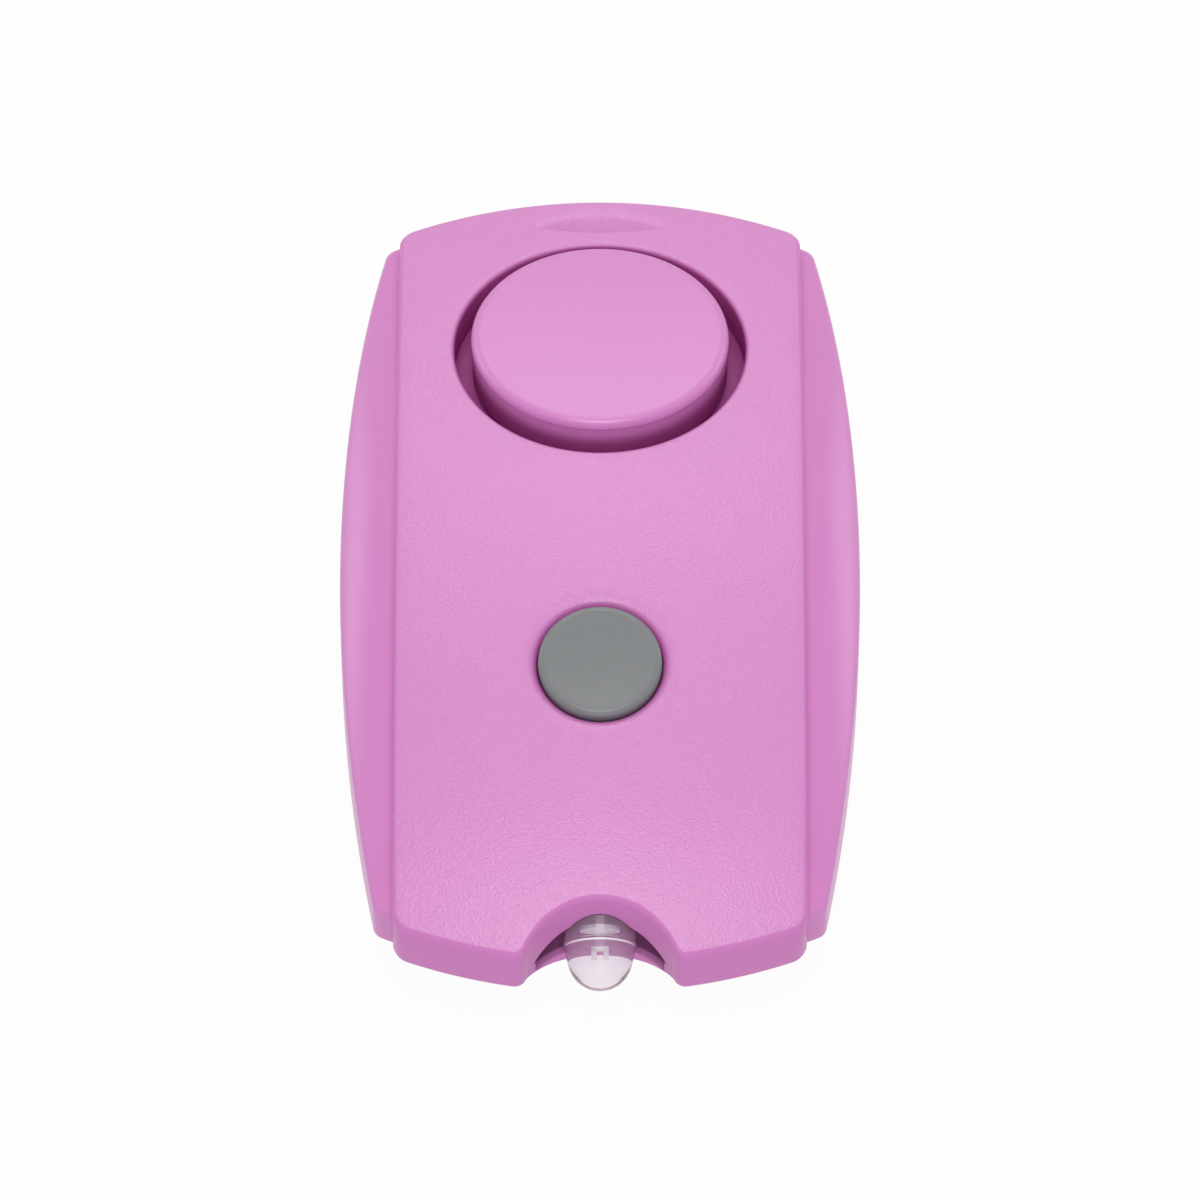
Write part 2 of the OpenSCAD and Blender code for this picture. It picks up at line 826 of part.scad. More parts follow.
// Slots in the pin socket's boss for the two leaves
module leaf_slots() {
    side = pin_leaf + 2 * leaf_gap;
    high = leaf_height + 2 * leaf_gap;
    for (s = [0, 1])
        mirror([s, 0, 0])
            translate([leaf_x - leaf_gap, pin_inner - leaf_gap, pin_z - high / 2]) {
                cube([side, leaf_length + 3 * leaf_gap, high]);
                cube([leaf_tail, pin_leaf + 3 * leaf_gap, high]);
            }
}

module front_cover() {
    color(pink)
        difference() {
            union() {
                difference() {
                    union() {
                        panel_solid();
                        wing_solid(0, z_split);
                    }
                    cover_cavity();
                }
                intersection() {
                    union() {
                        panel_solid();
                        wing_solid(0, z_split);
                    }
                    union() {
                        siren_cup();
                        cover_bosses();
                    }
                }
            }
            siren_cuts();
            notch(notch_radius);
            light_hole();
            translate([0, -end_y - past, z_split + slot_height - slot_radius])
                rotate([-90, 0, 0])
                    cylinder(r = slot_radius, h = past + notch_depth + notch_wall + through);
            at_crown(-button_y)
                button_hole_cut();
            scoop();
            translate([0, pin_inner, pin_z])
                rotate([-90, 0, 0])
                    cylinder(d = pin_diameter, h = pin_depth + past);
            leaf_slots();
            for (p = screw_places)
                translate([p.x, p.y, screw_seat])
                    cylinder(r = screw_radius + screw_gap, h = screw_length + screw_end_gap);
        }
}

// The bevelled hole for the button
module button_hole_cut() {
    rim = -pow(button_hole, 2) / (2 * crown_radius);
    translate([0, 0, -past])
        cylinder(r = button_hole, h = 2 * past);
    translate([0, 0, rim - bevel_slope * button_bevel])
        cylinder(r1 = button_hole, r2 = button_hole + past, h = bevel_slope * past);
}

module rear_shell() {
    color(pink)
        difference() {
            union() {
                difference() {
                    rear_solid(0, z_split);
                    difference() {
                        rear_solid(rear_wall, z_split + through);
                        notch(notch_radius + notch_wall);
                    }
                }
                intersection() {
                    rear_solid(0, z_split);
                    for (p = screw_places)
                        translate([p.x, p.y, 0])
                            cylinder(r = column_radius, h = z_split);
                }
                translate([0, cells_y, rear_wall / 2])
                    cylinder(r = pocket_outer, h = board_z - rear_wall / 2);
            }
            notch(notch_radius);
            light_hole();
            translate([0, cells_y, 0])
                battery_cuts();
            for (p = screw_places)
                translate([p.x, p.y, -through]) {
                    cylinder(r = screw_radius + screw_gap, h = z_split + 2 * through);
                    cylinder(r = screw_head_diameter / 2 + screw_gap, h = screw_seat + through);
                }
        }
}

// What is cut out of the rear shell for the cells, the door and the side contact
module battery_cuts() {
    stem_room = contact_stem + contact_strip + contact_gap;
    stem_width = contact_width + 2 * contact_gap;
    translate([0, 0, -through])
        cylinder(r = pocket_radius, h = board_z + 2 * through);
    translate([0, 0, -through])
        cylinder(r = door_radius + door_gap, h = rear_wall + 2 * through);
    translate([0, 0, rear_wall])
        cylinder(r = lug_radius + lug_side_gap, h = lug_room - rear_wall);
    for (i = [1 : door_lugs])
        rotate([0, 0, 360 / door_lugs * i + door_turn])
            translate([0, 0, -through])
                linear_extrude(rear_wall + 2 * through)
                    intersection() {
                        circle(lug_radius + lug_side_gap);
                        sector(2 * lug_radius, lug_angle + lug_play);
                    }
    translate([pocket_radius - through, -stem_width / 2, lug_room])
        cube([stem_room + through, stem_width, board_z]);
}

module battery_door() {
    color(pink)
        translate([0, cells_y, 0])
            difference() {
                union() {
                    cylinder(r = door_radius, h = lug_z + lug_height);
                    for (i = [1 : door_lugs])
                        rotate([0, 0, 360 / door_lugs * i])
                            translate([0, 0, lug_z])
                                linear_extrude(lug_height)
                                    intersection() {
                                        circle(lug_radius);
                                        sector(2 * lug_radius, lug_angle);
                                    }
                }
                translate([0, 0, door_thickness - seat_gap])
                    cylinder(r = door_radius - door_rim, h = past);
                translate([-coin_slot_length / 2, -coin_slot_width / 2, -through])
                    cube([coin_slot_length, coin_slot_width, through + coin_slot_depth]);
            }
}

// Outline of the siren cap from its axis outwards
module cap_section() {
    r = cap_edge_radius;
    edge = [cap_radius - r, cap_proud - r];
    difference() {
        intersection() {
            translate([0, cap_under])
                square([cap_radius, cap_thickness + through]);
            translate([0, edge.y - sqrt(pow(cap_dome_radius - r, 2) - pow(edge.x, 2))])
                circle(cap_dome_radius, $fn = fine);
        }
        corner_waste(edge, r, 0, 90 - asin(edge.x / (cap_dome_radius - r)));
    }
}

module siren_cap() {
    color(pink)
        at_crown(siren_y) {
            rotate_extrude($fn = fine)
                cap_section();
            translate([0, 0, floor_under - cap_post_end])
                cylinder(d = cap_post_diameter, h = cap_under + eps - floor_under + cap_post_end);
            for (i = [1 : cap_ribs])
                rotate([0, 0, 360 / cap_ribs * i + 90])
                    translate([0, -cap_rib / 2, floor_top])
                        cube([recess_radius - cap_rib_margin, cap_rib, cap_under + eps - floor_top]);
        }
}

module sounder_gasket() {
    color(black)
        at_crown(siren_y)
            translate([0, 0, plate_top])
                ring(plate_radius, plate_radius - gasket_width, gasket_height);
}

module sounder_plate() {
    color(brass)
        at_crown(siren_y)
            translate([0, 0, plate_under])
                cylinder(r = plate_radius, h = plate_thickness);
}

module sounder_ceramic() {
    color(white)
        at_crown(siren_y)
            translate([0, 0, ceramic_under])
                cylinder(d = ceramic_diameter, h = ceramic_thickness);
}

module sounder_holder() {
    color(white)
        at_crown(siren_y)
            translate([0, 0, holder_under])
                ring(siren_outer, plate_radius - gasket_width, holder_height);
}

// A point under the sounder, by its distance along the tilted plate and below the crown
function under_siren(x, along, depth) = [
    x,
    siren_y + along * cos(siren_tilt) + depth * sin(siren_tilt),
    crown_centre + crown_radius * cos(siren_tilt) - along * sin(siren_tilt) + depth * cos(siren_tilt)
];

// Two wires from the ceramic disc's back to the board
module sounder_wires() {
    lift = board_top + wire_diameter / 2 + touch;
    solder = ceramic_under - wire_diameter / 2 - touch;
    color(black)
        for (s = [-1, 1])
            wire([
                [s * 2.4, board_end - 0.6, lift],
                [s * 2.4, board_end + 1, lift],
                under_siren(s * 2.4, -5, solder),
                under_siren(s * 2.4, -3.6, solder)
            ], wire_diameter);
}

// Outline of the button from its axis outwards
module button_section() {
    r = button_edge_radius;
    edge = [button_radius - r, button_proud - r];
    difference() {
        union() {
            translate([0, button_under])
                square([button_radius, button_proud - button_under]);
            translate([0, button_under])
                square([flange_radius, button_flange_thickness]);
        }
        corner_waste(edge, r, 0, 90);
        dish = (pow(edge.x, 2) + pow(button_dish, 2)) / (2 * button_dish);
        translate([0, button_proud - button_dish + dish])
            circle(dish, $fn = fine);
    }
}

module press_button() {
    color(grey)
        at_crown(-button_y)
            rotate_extrude()
                button_section();
}

module switch_body() {
    color(black)
        translate([0, switch_y, board_top])
            difference() {
                translate([-switch_side / 2, -switch_side / 2, 0])
                    cube([switch_side, switch_side, switch_height]);
                translate([0, 0, switch_floor])
                    cylinder(d = plunger_diameter + 2 * small_gap, h = switch_height);
            }
}

module switch_plunger() {
    color(white)
        translate([0, switch_y, plunger_base])
            cylinder(d = plunger_diameter, h = plunger_top - plunger_base);
}

module circuit_board() {
    color(green)
        difference() {
            translate([0, 0, board_z])
                linear_extrude(board_thickness)
                    union() {
                        translate([-board_width / 2, board_front])
                            square([board_width, board_end - board_front]);
                        translate([-ear_width / 2, cells_y - ear_length / 2])
                            square([ear_width, ear_length]);
                    }
            for (s = [-1, 1])
                translate([s * lead_pitch / 2, lead_hole_y, board_z - through])
                    cylinder(d = lead_size + 2 * small_gap, h = board_thickness + 2 * through);
        }
}

// Outline of the lens's dome from its axis outwards
module dome_section() {
    intersection() {
        translate([led_radius - dome_flank_radius, 0])
            circle(dome_flank_radius);
        translate([0, led_dome - dome_tip_radius])
            circle(dome_tip_radius);
        square([led_radius, led_dome]);
    }
}

module torch_lens() {
    color(clear)
        difference() {
            at_light() {
                rotate_extrude()
                    dome_section();
                translate([0, 0, -led_barrel])
                    cylinder(r = led_radius, h = led_barrel + eps);
                translate([0, 0, -led_barrel])
                    cylinder(d = led_flange_diameter, h = led_flange);
            }
            at_light()
                lead_frame(seat_gap);
        }
}

// The metal frame inside the lens, with a gap where it is cut out
module lead_frame(gap) {
    half = lead_size / 2 + gap;
    outer = lead_pitch / 2 + half;
    foot = -frame_depth - gap;
    for (s = [-1, 1])
        translate([s * lead_pitch / 2 - half, -half, -led_barrel - through])
            cube([2 * half, 2 * half, led_barrel + through - frame_depth + lead_size / 2]);
    translate([-outer, -half, foot])
        cube([anvil_width + 2 * gap, 2 * half, anvil_height + 2 * gap]);
    translate([outer - bond_post_width - 2 * gap, -half, foot])
        cube([bond_post_width + 2 * gap, 2 * half, bond_post_height + 2 * gap]);
}

module torch_leads() {
    step = board_top + lead_size / 2 + seat_gap;
    color(steel) {
        at_light()
            lead_frame(0);
        for (s = [-1, 1])
            wire([
                [s * lead_pitch / 2, led_back.y, led_back.z],
                [s * lead_pitch / 2, lead_bend.y, lead_bend.z],
                [s * lead_pitch / 2, lead_hole_y, max(step, lead_bend.z)],
                [s * lead_pitch / 2, lead_hole_y, board_z - lead_size]
            ], lead_size);
    }
}

// A coin cell: a can with a smaller cap on its upper side
module coin_cell(z) {
    can = cell_diameter / 2;
    shoulder = cell_thickness - cell_cap_height;
    color(steel)
        translate([0, cells_y, z])
            rotate_extrude()
                polygon([
                    [0, 0], [can - cell_bevel, 0], [can, cell_bevel], [can, shoulder - cell_cap_height],
                    [can - cell_crimp, shoulder], [can - cell_cap_inset, shoulder],
                    [can - cell_cap_inset, cell_thickness], [0, cell_thickness]
                ]);
}

// The springy dish between the upper cell and the board
module contact_negative() {
    low = cells_top + touch;
    high = board_z - contact_strip;
    color(brass)
        translate([0, cells_y, 0])
            rotate_extrude()
                polygon([
                    [contact_eye, low], [contact_seat, low], [contact_foot_start, high], [contact_foot, high],
                    [contact_foot, board_z], [contact_foot_start - small_gap, board_z],
                    [contact_seat - small_gap, low + contact_strip], [contact_eye, low + contact_strip]
                ]);
}

// The angled strip from the lower cell's side up to the board
module contact_positive() {
    stem = pocket_radius + contact_stem;
    tip = cell_diameter / 2 + touch;
    tip_z = cell_1_z + cell_thickness / 2;
    color(brass)
        translate([0, cells_y - contact_width / 2, tip_z]) {
            translate([stem, 0, 0])
                cube([contact_strip, contact_width, board_z - tip_z]);
            translate([tip, 0, 0])
                cube([stem + contact_strip - tip, contact_width, contact_strip]);
        }
}

module coil_core() {
    color(black)
        translate(coil_place) {
            cylinder(d = coil_diameter, h = coil_lip);
            cylinder(d = coil_middle, h = coil_height);
            translate([0, 0, coil_height - coil_lip])
                cylinder(d = coil_diameter, h = coil_lip);
        }
}

module coil_winding() {
    color(copper)
        translate(coil_place + [0, 0, coil_lip])
            ring(coil_diameter / 2 - coil_inset, coil_middle / 2 + touch, coil_height - 2 * coil_lip);
}

module driver_chip() {
    color(black)
        translate([-parts_x - chip_width / 2, cells_y - chip_length / 2, board_top])
            cube([chip_width, chip_length, chip_height]);
}

module transistor() {
    color(black)
        translate([parts_x - transistor_width / 2, switch_y - transistor_length / 2, board_top])
            cube([transistor_width, transistor_length, transistor_height]);
}

module capacitor() {
    color(steel)
        translate([-parts_x, switch_y, board_top])
            cylinder(d = capacitor_diameter, h = capacitor_height);
}

// One of the three small chip parts in a row beside the light's leads
module resistor(i) {
    color(black)
        translate([(i - 2) * small_part_pitch - small_part_width / 2, lead_hole_y + small_part_length, board_top])
            cube([small_part_width, small_part_length, small_part_height]);
}

// One leaf of the pin switch, beside the socket
module pin_leaf_blade(side) {
    color(brass)
        mirror([side < 0 ? 1 : 0, 0, 0])
            translate([leaf_x, pin_inner + leaf_gap, pin_z - leaf_height / 2]) {
                cube([pin_leaf, leaf_length, leaf_height]);
                cube([leaf_tail - leaf_x, pin_leaf, leaf_height]);
            }
}

// Two wires from the leaves' tails, under the siren and over the cells' wall to the board
module pin_wires() {
    side = leaf_tail - wire_diameter;
    back = pin_inner + leaf_gap - wire_diameter / 2 - touch;
    lift = board_top + wire_diameter / 2 + touch;
    color(black)
        for (s = [-1, 1])
            wire([
                [s * side, back, pin_z],
                [s * side, back, z_split + 0.2],
                [s * side, back - 1.9, z_split - 0.7],
                [s * side, siren_y + 5, z_split - 2.2],
                [s * side, max(board_end + 5.6, cells_y + pocket_outer + 0.5), board_top - 0.4],
                [s * side, board_end + 1.2, lift],
                [s * side, board_end - 0.8, lift]
            ], wire_diameter);
}

// A case screw with a crossed head, standing head down
module case_screw(i) {
    p = screw_places[i - 1];
    head = screw_head_diameter / 2;
    color(steel)
        translate([p.x, p.y, screw_seat - screw_head_height])
            difference() {
                union() {
                    cylinder(r = head, h = screw_head_height);
                    cylinder(r = screw_radius, h = screw_head_height + screw_length);
                }
                for (turn = [0, 90])
                    rotate([0, 0, turn])
                        translate([-cross_length / 2, -cross_width / 2, -through])
                            cube([cross_length, cross_width, through + cross_depth]);
            }
}

front_cover();
rear_shell();
battery_door();
siren_cap();
sounder_gasket();
sounder_plate();
sounder_ceramic();
sounder_holder();
sounder_wires();
press_button();
switch_body();
switch_plunger();
circuit_board();
torch_lens();
torch_leads();
coin_cell(cell_1_z);  // coin_cell_1
coin_cell(cell_2_z);  // coin_cell_2
contact_negative();
contact_positive();
coil_core();
coil_winding();
driver_chip();
transistor();
capacitor();
for (i = [1 : 3])
    resistor(i);
pin_leaf_blade(1);  // pin_leaf_1
pin_leaf_blade(-1);  // pin_leaf_2
pin_wires();
for (i = [1 : 4])
    case_screw(i);
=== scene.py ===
"""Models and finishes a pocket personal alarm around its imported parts.

The file is laid out as a Blender add-on and run as a script. Lengths are in metres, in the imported
model's own frame: X across the case, Y along it towards the siren, and Z up out of the front panel.
"""

import math

import bmesh
import bpy
from mathutils import Matrix, Vector


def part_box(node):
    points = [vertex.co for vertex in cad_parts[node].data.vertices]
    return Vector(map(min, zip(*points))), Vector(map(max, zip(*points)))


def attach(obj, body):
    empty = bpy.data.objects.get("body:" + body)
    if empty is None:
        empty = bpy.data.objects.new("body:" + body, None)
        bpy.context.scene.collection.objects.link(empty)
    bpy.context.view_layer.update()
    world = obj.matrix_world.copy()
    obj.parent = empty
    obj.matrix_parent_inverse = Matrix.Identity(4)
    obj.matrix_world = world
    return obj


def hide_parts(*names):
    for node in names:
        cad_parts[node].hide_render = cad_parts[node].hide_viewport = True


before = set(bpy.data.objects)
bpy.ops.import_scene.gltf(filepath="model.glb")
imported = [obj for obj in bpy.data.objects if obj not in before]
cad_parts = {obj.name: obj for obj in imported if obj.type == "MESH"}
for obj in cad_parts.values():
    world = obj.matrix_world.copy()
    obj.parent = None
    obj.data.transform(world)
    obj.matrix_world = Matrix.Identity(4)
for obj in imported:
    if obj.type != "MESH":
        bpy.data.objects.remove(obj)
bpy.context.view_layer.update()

bl_info = {
    "name": "Personal Safety Alarm",
    "version": (1, 0, 0),
    "blender": (4, 5, 0),
    "location": "View3D > Sidebar > Alarm",
    "description": "Models and finishes a pocket alarm around its packed parts",
    "category": "Object",
}

UP = Vector((0, 0, 1))
FLIP_X, FLIP_Y = Matrix.Scale(-1, 4, (1, 0, 0)), Matrix.Scale(-1, 4, (0, 1, 0))
QUARTER = math.pi / 2

# Steps of the outlines' arcs and runs, and of round bodies
CORNER_STEPS, NOTCH_CORNER_STEPS = 8, 10
FAR_STEPS, NEAR_STEPS, PANEL_SIDE_STEPS = 72, 26, 110
WING_END_STEPS, WING_SIDE_STEPS, WING_INNER_STEPS = 10, 140, 60
REAR_END_STEPS, REAR_SIDE_STEPS = 60, 120
ROUND_STEPS, BUTTON_STEPS, BORE_STEPS, SLOT_STEPS = 128, 96, 64, 192
SCOOP_NEAR_STEPS, SCOOP_FAR_STEPS = 40, 44
# Steps of the rounded edges
RIM_STEPS, PANEL_EDGE_STEPS, LOWER_EDGE_STEPS, WING_EDGE_STEPS = 6, 7, 3, 5
CAP_EDGE_STEPS, BUTTON_EDGE_STEPS = 8, 6

# Longest triangle side on each surface
PANEL_MESH, INNER_MESH, SCOOP_MESH, WING_MESH = 0.0011, 0.003, 0.0005, 0.0006

# Merging distances, and how far cutters reach past what they cut
SAME, CARVED = 1e-7, 1e-8
OVER, LENS_OVER = 0.002, 0.008
PIN_DEPTH = 0.0026

# The range of noise that is used, and plain white
NOISE = (0.3, 0.7)
WHITE = (1, 1, 1, 1)


def length(label, description, value):
    """A length in metres that a user may change."""
    return bpy.props.FloatProperty(
        name=label, description=description, default=value, unit="LENGTH", precision=5
    )


def angle(label, description, degrees):
    """An angle that a user may change, given in degrees."""
    return bpy.props.FloatProperty(
        name=label, description=description, default=math.radians(degrees), subtype="ANGLE"
    )


def number(label, description, value):
    """A plain number that a user may change."""
    return bpy.props.FloatProperty(name=label, description=description, default=value, precision=4)


def colour(label, description, value):
    """A linear colour that a user may change."""
    return bpy.props.FloatVectorProperty(
        name=label, description=description, default=value, subtype="COLOR", size=3, min=0, max=1
    )


class CaseSizes(bpy.types.PropertyGroup):
    panel_length: length("Panel length", "Length of the raised front panel", 0.0655)
    panel_width: length("Panel width", "Width of the raised front panel", 0.0292)
    body_width: length("Body width", "Widest width across both wings", 0.0372)
    barrel_radius: length("Barrel radius", "Radius of the curve of the long sides", 0.145)
    end_radius: length("End radius", "Radius of the curved ends", 0.038)
    wing_far_setback: length("Wing far setback", "Room left by the wings at the siren's end", -0.0001)
    wing_near_setback: length("Wing near setback", "Room left by the wings at the lamp's end", 0.0013)
    wing_corner: length("Wing corner", "Rounding of the wings' corners", 0.001)
    corner_radius: length("Corner radius", "Rounding of the panel's corners", 0.0016)
    crown_radius: length("Crown radius", "Radius of the ball-shaped crown", 0.1)
    crown_top: length("Crown height", "Height of the crown's top above the back", 0.0165)
    nose_drop: length("Nose drop", "Extra fall of the crown at the lamp's end", 0.0006)
    nose_reach: length("Nose reach", "Distance over which the crown falls more", 0.0108)
    seam: length("Seam height", "Height of the seam above the back", 0.0069)
    skirt: length("Skirt", "Lap of the cover over the rear case below the seam", 0.0007)
    wall: length("Wall", "Thickness of the panel's top", 0.0015)
    skin: length("Skin", "Thickness of the panel's side wall", 0.00085)
    panel_edge: length("Panel edge", "Rounding of the panel's upper edge", 0.00036)
    lower_edge: length("Lower edge", "Rounding of the panel's lower edge", 0.00035)
    shoulder_drop: length("Shoulder drop", "Depth of the wings' top below the crown", 0.0026)
    shoulder_radius: length("Shoulder radius", "Radius of the wings' shoulders", 0.007)
    shoulder_tuck: length("Shoulder tuck", "Distance under the panel at which the shoulders fall", 0.0012)
    wing_edge: length("Wing edge", "Rounding of the wings' upper edge", 0.0003)
    wing_overlap: length("Wing overlap", "Distance that a wing reaches into the panel's wall", 0.0006)
    notch_radius: length("Notch radius", "Radius of the notch at the lamp", 0.00581)
    notch_depth: length("Notch depth", "Depth of the notch from the panel's end", 0.00425)
    notch_corner: length("Notch corner", "Rounding of the notch's two corners", 0.0009)
    slot_height: length("Slot height", "Height of the arched slot beside the lamp", 0.00237)
    slot_width: length("Slot width", "Width of the arched slot at the seam", 0.00984)
    scoop_reach: length("Scoop reach", "Distance from the panel's end to the scoop's near edge", 0.00375)
    scoop_margin: length("Scoop margin", "Distance from the panel's end to the scoop's far edge", 0.00165)
    scoop_edge_radius: length("Scoop edge radius", "Radius of the scoop's near edge", 0.016)
    scoop_far_radius: length("Scoop far radius", "Radius of the scoop's far edge", 0.0086)
    scoop_depth: length("Scoop depth", "Depth of the scoop at its near edge", 0.0011)
    pin_radius: length("Pin radius", "Radius of the pull-pin socket", 0.0013)
    pin_height: length("Pin height", "Height of the pull-pin socket above the back", 0.009)


class RearSizes(bpy.types.PropertyGroup):
    shadow_gap: length("Shadow gap", "Step in from the cover below the skirt", 0.0001)
    tongue: length("Tongue", "Step in from the cover behind the skirt", 0.0009)
    end_setback: length("End setback", "Step back from the wings at the lamp's end", 0.001)
    lip: length("Notch lip", "Thickness of the lip round the notch", 0.0006)
    lip_drop: length("Lip drop", "Gap between the panel and the lip round the notch", 0.0005)
    notch_gap: length("Notch gap", "Step back from the panel in the notch", 0.0001)
    rim: length("Rim", "Upright rim between the seam and the bevelled ends", 0.0003)
    side_rounding: length("Side rounding", "Rounding of the long sides of the back", 0.0065)
    end_bevel: angle("End bevel", "Slope of the bevelled ends of the back", 26.5)
    wall: length("Rear wall", "Thickness of the back", 0.0014)
    door_place: length("Door place", "Place of the battery door along the case", -0.0015)
    door_hole: length("Door hole", "Radius of the hole for the battery door", 0.01135)
    lug_room: length("Lug room", "Radius of the room for the door's lugs", 0.0126)
    lug_angle: angle("Lug angle", "Width of each entry for a lug", 30)
    lug_turn: angle("Lug turn", "Turn from a lug to its entry", 45)
    hollow: length("Hollow", "Height of the floor behind the notch", 0.0052)
    screw_place: length("Screw place", "Distance of the screws from the middle line", 0.0132)
    screw_back: length("Back screws", "Place of the screws at the siren's end", 0.0095)
    screw_front: length("Front screws", "Place of the screws at the lamp's end", -0.0155)
    screw_hole: length("Screw hole", "Radius of the holes for the screws' heads", 0.002)
    screw_depth: length("Screw depth", "Depth of the screws' seats", 0.0036)


class SirenSizes(bpy.types.PropertyGroup):
    margin: length("Siren margin", "Distance from the panel's end to the middle of the siren", 0.01545)
    recess_radius: length("Recess radius", "Radius of the round recess", 0.0105)
    recess_depth: length("Recess depth", "Depth of the recess below the crown", 0.0034)
    rim: length("Recess rim", "Rounding of the recess's rim", 0.00035)
    cup_radius: length("Cup radius", "Outer radius of the cup under the recess", 0.0117)
    cup_depth: length("Cup depth", "Depth of the cup's lower edge", 0.0055)
    seat_radius: length("Seat radius", "Radius of the sounder's seat in the cup", 0.01015)
    seat_depth: length("Seat depth", "Depth of the floor's underside", 0.0044)
    cap_radius: length("Cap radius", "Radius of the siren cap", 0.0093)
    cap_proud: length("Cap height", "Height of the cap's edge above the crown", 0.00096)
    cap_lean: angle("Cap lean", "Fall of the cap towards the siren's end", 1.2)
    cap_gap: length("Cap gap", "Gap under the cap's wall", 0.0008)
    cap_edge: length("Cap edge", "Rounding of the cap's edge", 0.0006)
    cap_lip: length("Cap lip", "Height of the lip's underside above the crown", 0.0003)
    neck_radius: length("Neck radius", "Radius of the cap's wall below its lip", 0.0092)
    cap_dome: length("Cap dome", "Radius of the cap's slightly domed top", 0.16)


class ButtonSizes(bpy.types.PropertyGroup):
    margin: length("Button margin", "Distance from the panel's end to the middle of the button", 0.0217)
    radius: length("Button radius", "Radius of the button", 0.00441)
    hole_radius: length("Hole radius", "Radius of the button's hole", 0.00474)
    seat_radius: length("Seat radius", "Radius of the hole below its tapered mouth", 0.0045)
    seat_depth: length("Seat depth", "Depth of the hole's tapered mouth", 0.0006)
    bevel: length("Hole bevel", "Width of the bevel round the hole", 0.00042)
    bevel_depth: length("Hole bevel depth", "Depth of the bevel round the hole", 0.0002)
    proud: length("Button height", "Height of the button's edge above the crown", 0.00028)
    edge: length("Button edge", "Rounding of the button's edge", 0.0005)
    dish: length("Button dish", "Depth of the dish in the button's top", 0.0002)
    flange_radius: length("Flange radius", "Radius of the flange that keeps the button in", 0.00535)
    flange_top: length("Flange depth", "Depth of the flange's upper side", 0.001745)
    under: length("Button depth", "Depth of the button's underside", 0.002325)


class LampSizes(bpy.types.PropertyGroup):
    radius: length("Lens radius", "Radius of the lamp's lens", 0.0025)
    barrel: length("Lens barrel", "Length of the straight part of the lens", 0.0061)
    step: length("Lens bead", "Radius of the bead where the dome starts", 0.00005)
    dome: length("Lens dome", "Length of the domed tip", 0.0033)
    flank_radius: length("Flank radius", "Radius of the dome's flank", 0.00425)
    tip_radius: length("Tip radius", "Radius of the dome's tip", 0.0023)
    flange_radius: length("Lens flange", "Radius of the lens's flange", 0.0029)
    flange: length("Flange thickness", "Thickness of the lens's flange", 0.001)
    cup_radius: length("Cup radius", "Radius of the cup on the lead frame", 0.00115)
    cup_place: length("Cup place", "Place of the cup's rim along the beam", -0.0009)
    fork_width: length("Fork width", "Width of the fork in the dome", 0.001)
    fork_place: length("Fork place", "Place of the fork along the beam", 0.00032)
    lead_end: length("Lead end", "Place of the leads' ends along the beam", -0.0026)
    lead_pitch: length("Lead pitch", "Distance between the two leads", 0.00254)
    wire: length("Lead size", "Width of each square lead", 0.0005)
    tilt: angle("Lamp tilt", "Downward tilt of the lamp", 17)
    # Place along the beam of the painted highlight, a white band on the lens's top
    highlight_place: length("Mould line", "Place of the mould line along the beam", 0.0002)
    reach: length("Lamp reach", "Distance that the dome starts in front of the notch", 0.0007)
    rise: length("Lamp rise", "Height of the lamp's dome above the seam", 0.0002)
    gap: length("Lamp gap", "Gap round the lens", 0.0001)


class FinishValues(bpy.types.PropertyGroup):
    case_colour: colour("Case colour", "Lilac-pink of the mouldings", (0.665, 0.228, 0.562))
    button_colour: colour("Button colour", "Grey of the button", (0.2, 0.209, 0.217))
    grain: length("Grain size", "Size of the panel's moulded grain", 0.0002)
    grain_depth: length("Grain depth", "Depth of the panel's moulded grain", 0.000054)
    case_shine: number("Case shine", "Strength of the mouldings' reflections", 0.36)
    panel_roughness: number("Panel roughness", "Roughness of the grained panel", 0.3)
    satin_roughness: number("Satin roughness", "Roughness of the smooth mouldings", 0.3)


class StageValues(bpy.types.PropertyGroup):
    distance: length("Camera distance", "Distance from the crown's top to the camera", 0.823)
    elevation: angle("Camera elevation", "Height of the camera above the table", 55.6)
    pitch: angle("Camera pitch", "Turn of the camera below the crown's top", 0.359)
    lens: number("Lens", "Focal length in millimetres", 346.8)
    key_power: number("Key light", "Power of the overhead light in watts", 1.24)
    back_power: number("Back light", "Power of the light behind the siren in watts", 1.0)
    front_power: number("Front light", "Power of the light in front of the lamp in watts", 0.55)
    side_power: number("Side lights", "Power of each light beside the case in watts", 0.4)
    sky: number("Sky light", "Strength of the even light from all sides", 0.42)


# Places on the case


def crown_centre(case):
    """Height of the middle of the crown's ball."""
    return case.crown_top - case.crown_radius


def crown_height(case, x, y, inset=0.0):
    """Height of the crown over a point of the plan, drawn in by a distance."""
    return crown_centre(case) + math.sqrt((case.crown_radius - inset) ** 2 - x * x - y * y)


def at_crown(case, y):
    """Frame of a place on the crown, with Z along the crown's normal there."""
    tilt = Matrix.Rotation(-math.asin(y / case.crown_radius), 4, "X")
    top = Matrix.Translation((0, 0, case.crown_radius))
    return Matrix.Translation((0, 0, crown_centre(case))) @ tilt @ top


def siren_frame(case, siren):
    return at_crown(case, case.panel_length / 2 - siren.margin)


def button_frame(case, button):
    return at_crown(case, button.margin - case.panel_length / 2)


def at_lamp(case, lamp):
    """Frame of the lamp, with Z along its beam and its origin where the dome starts."""
    y = -case.panel_length / 2 + case.notch_depth - lamp.reach
    tilt = Matrix.Rotation(QUARTER + lamp.tilt, 4, "X")
    return Matrix.Translation((0, y, case.seam + lamp.rise)) @ tilt


def lamp_bore(lamp):
    """Radius of the hole that the lamp's lens goes through."""
    return lamp.radius + lamp.step + lamp.gap


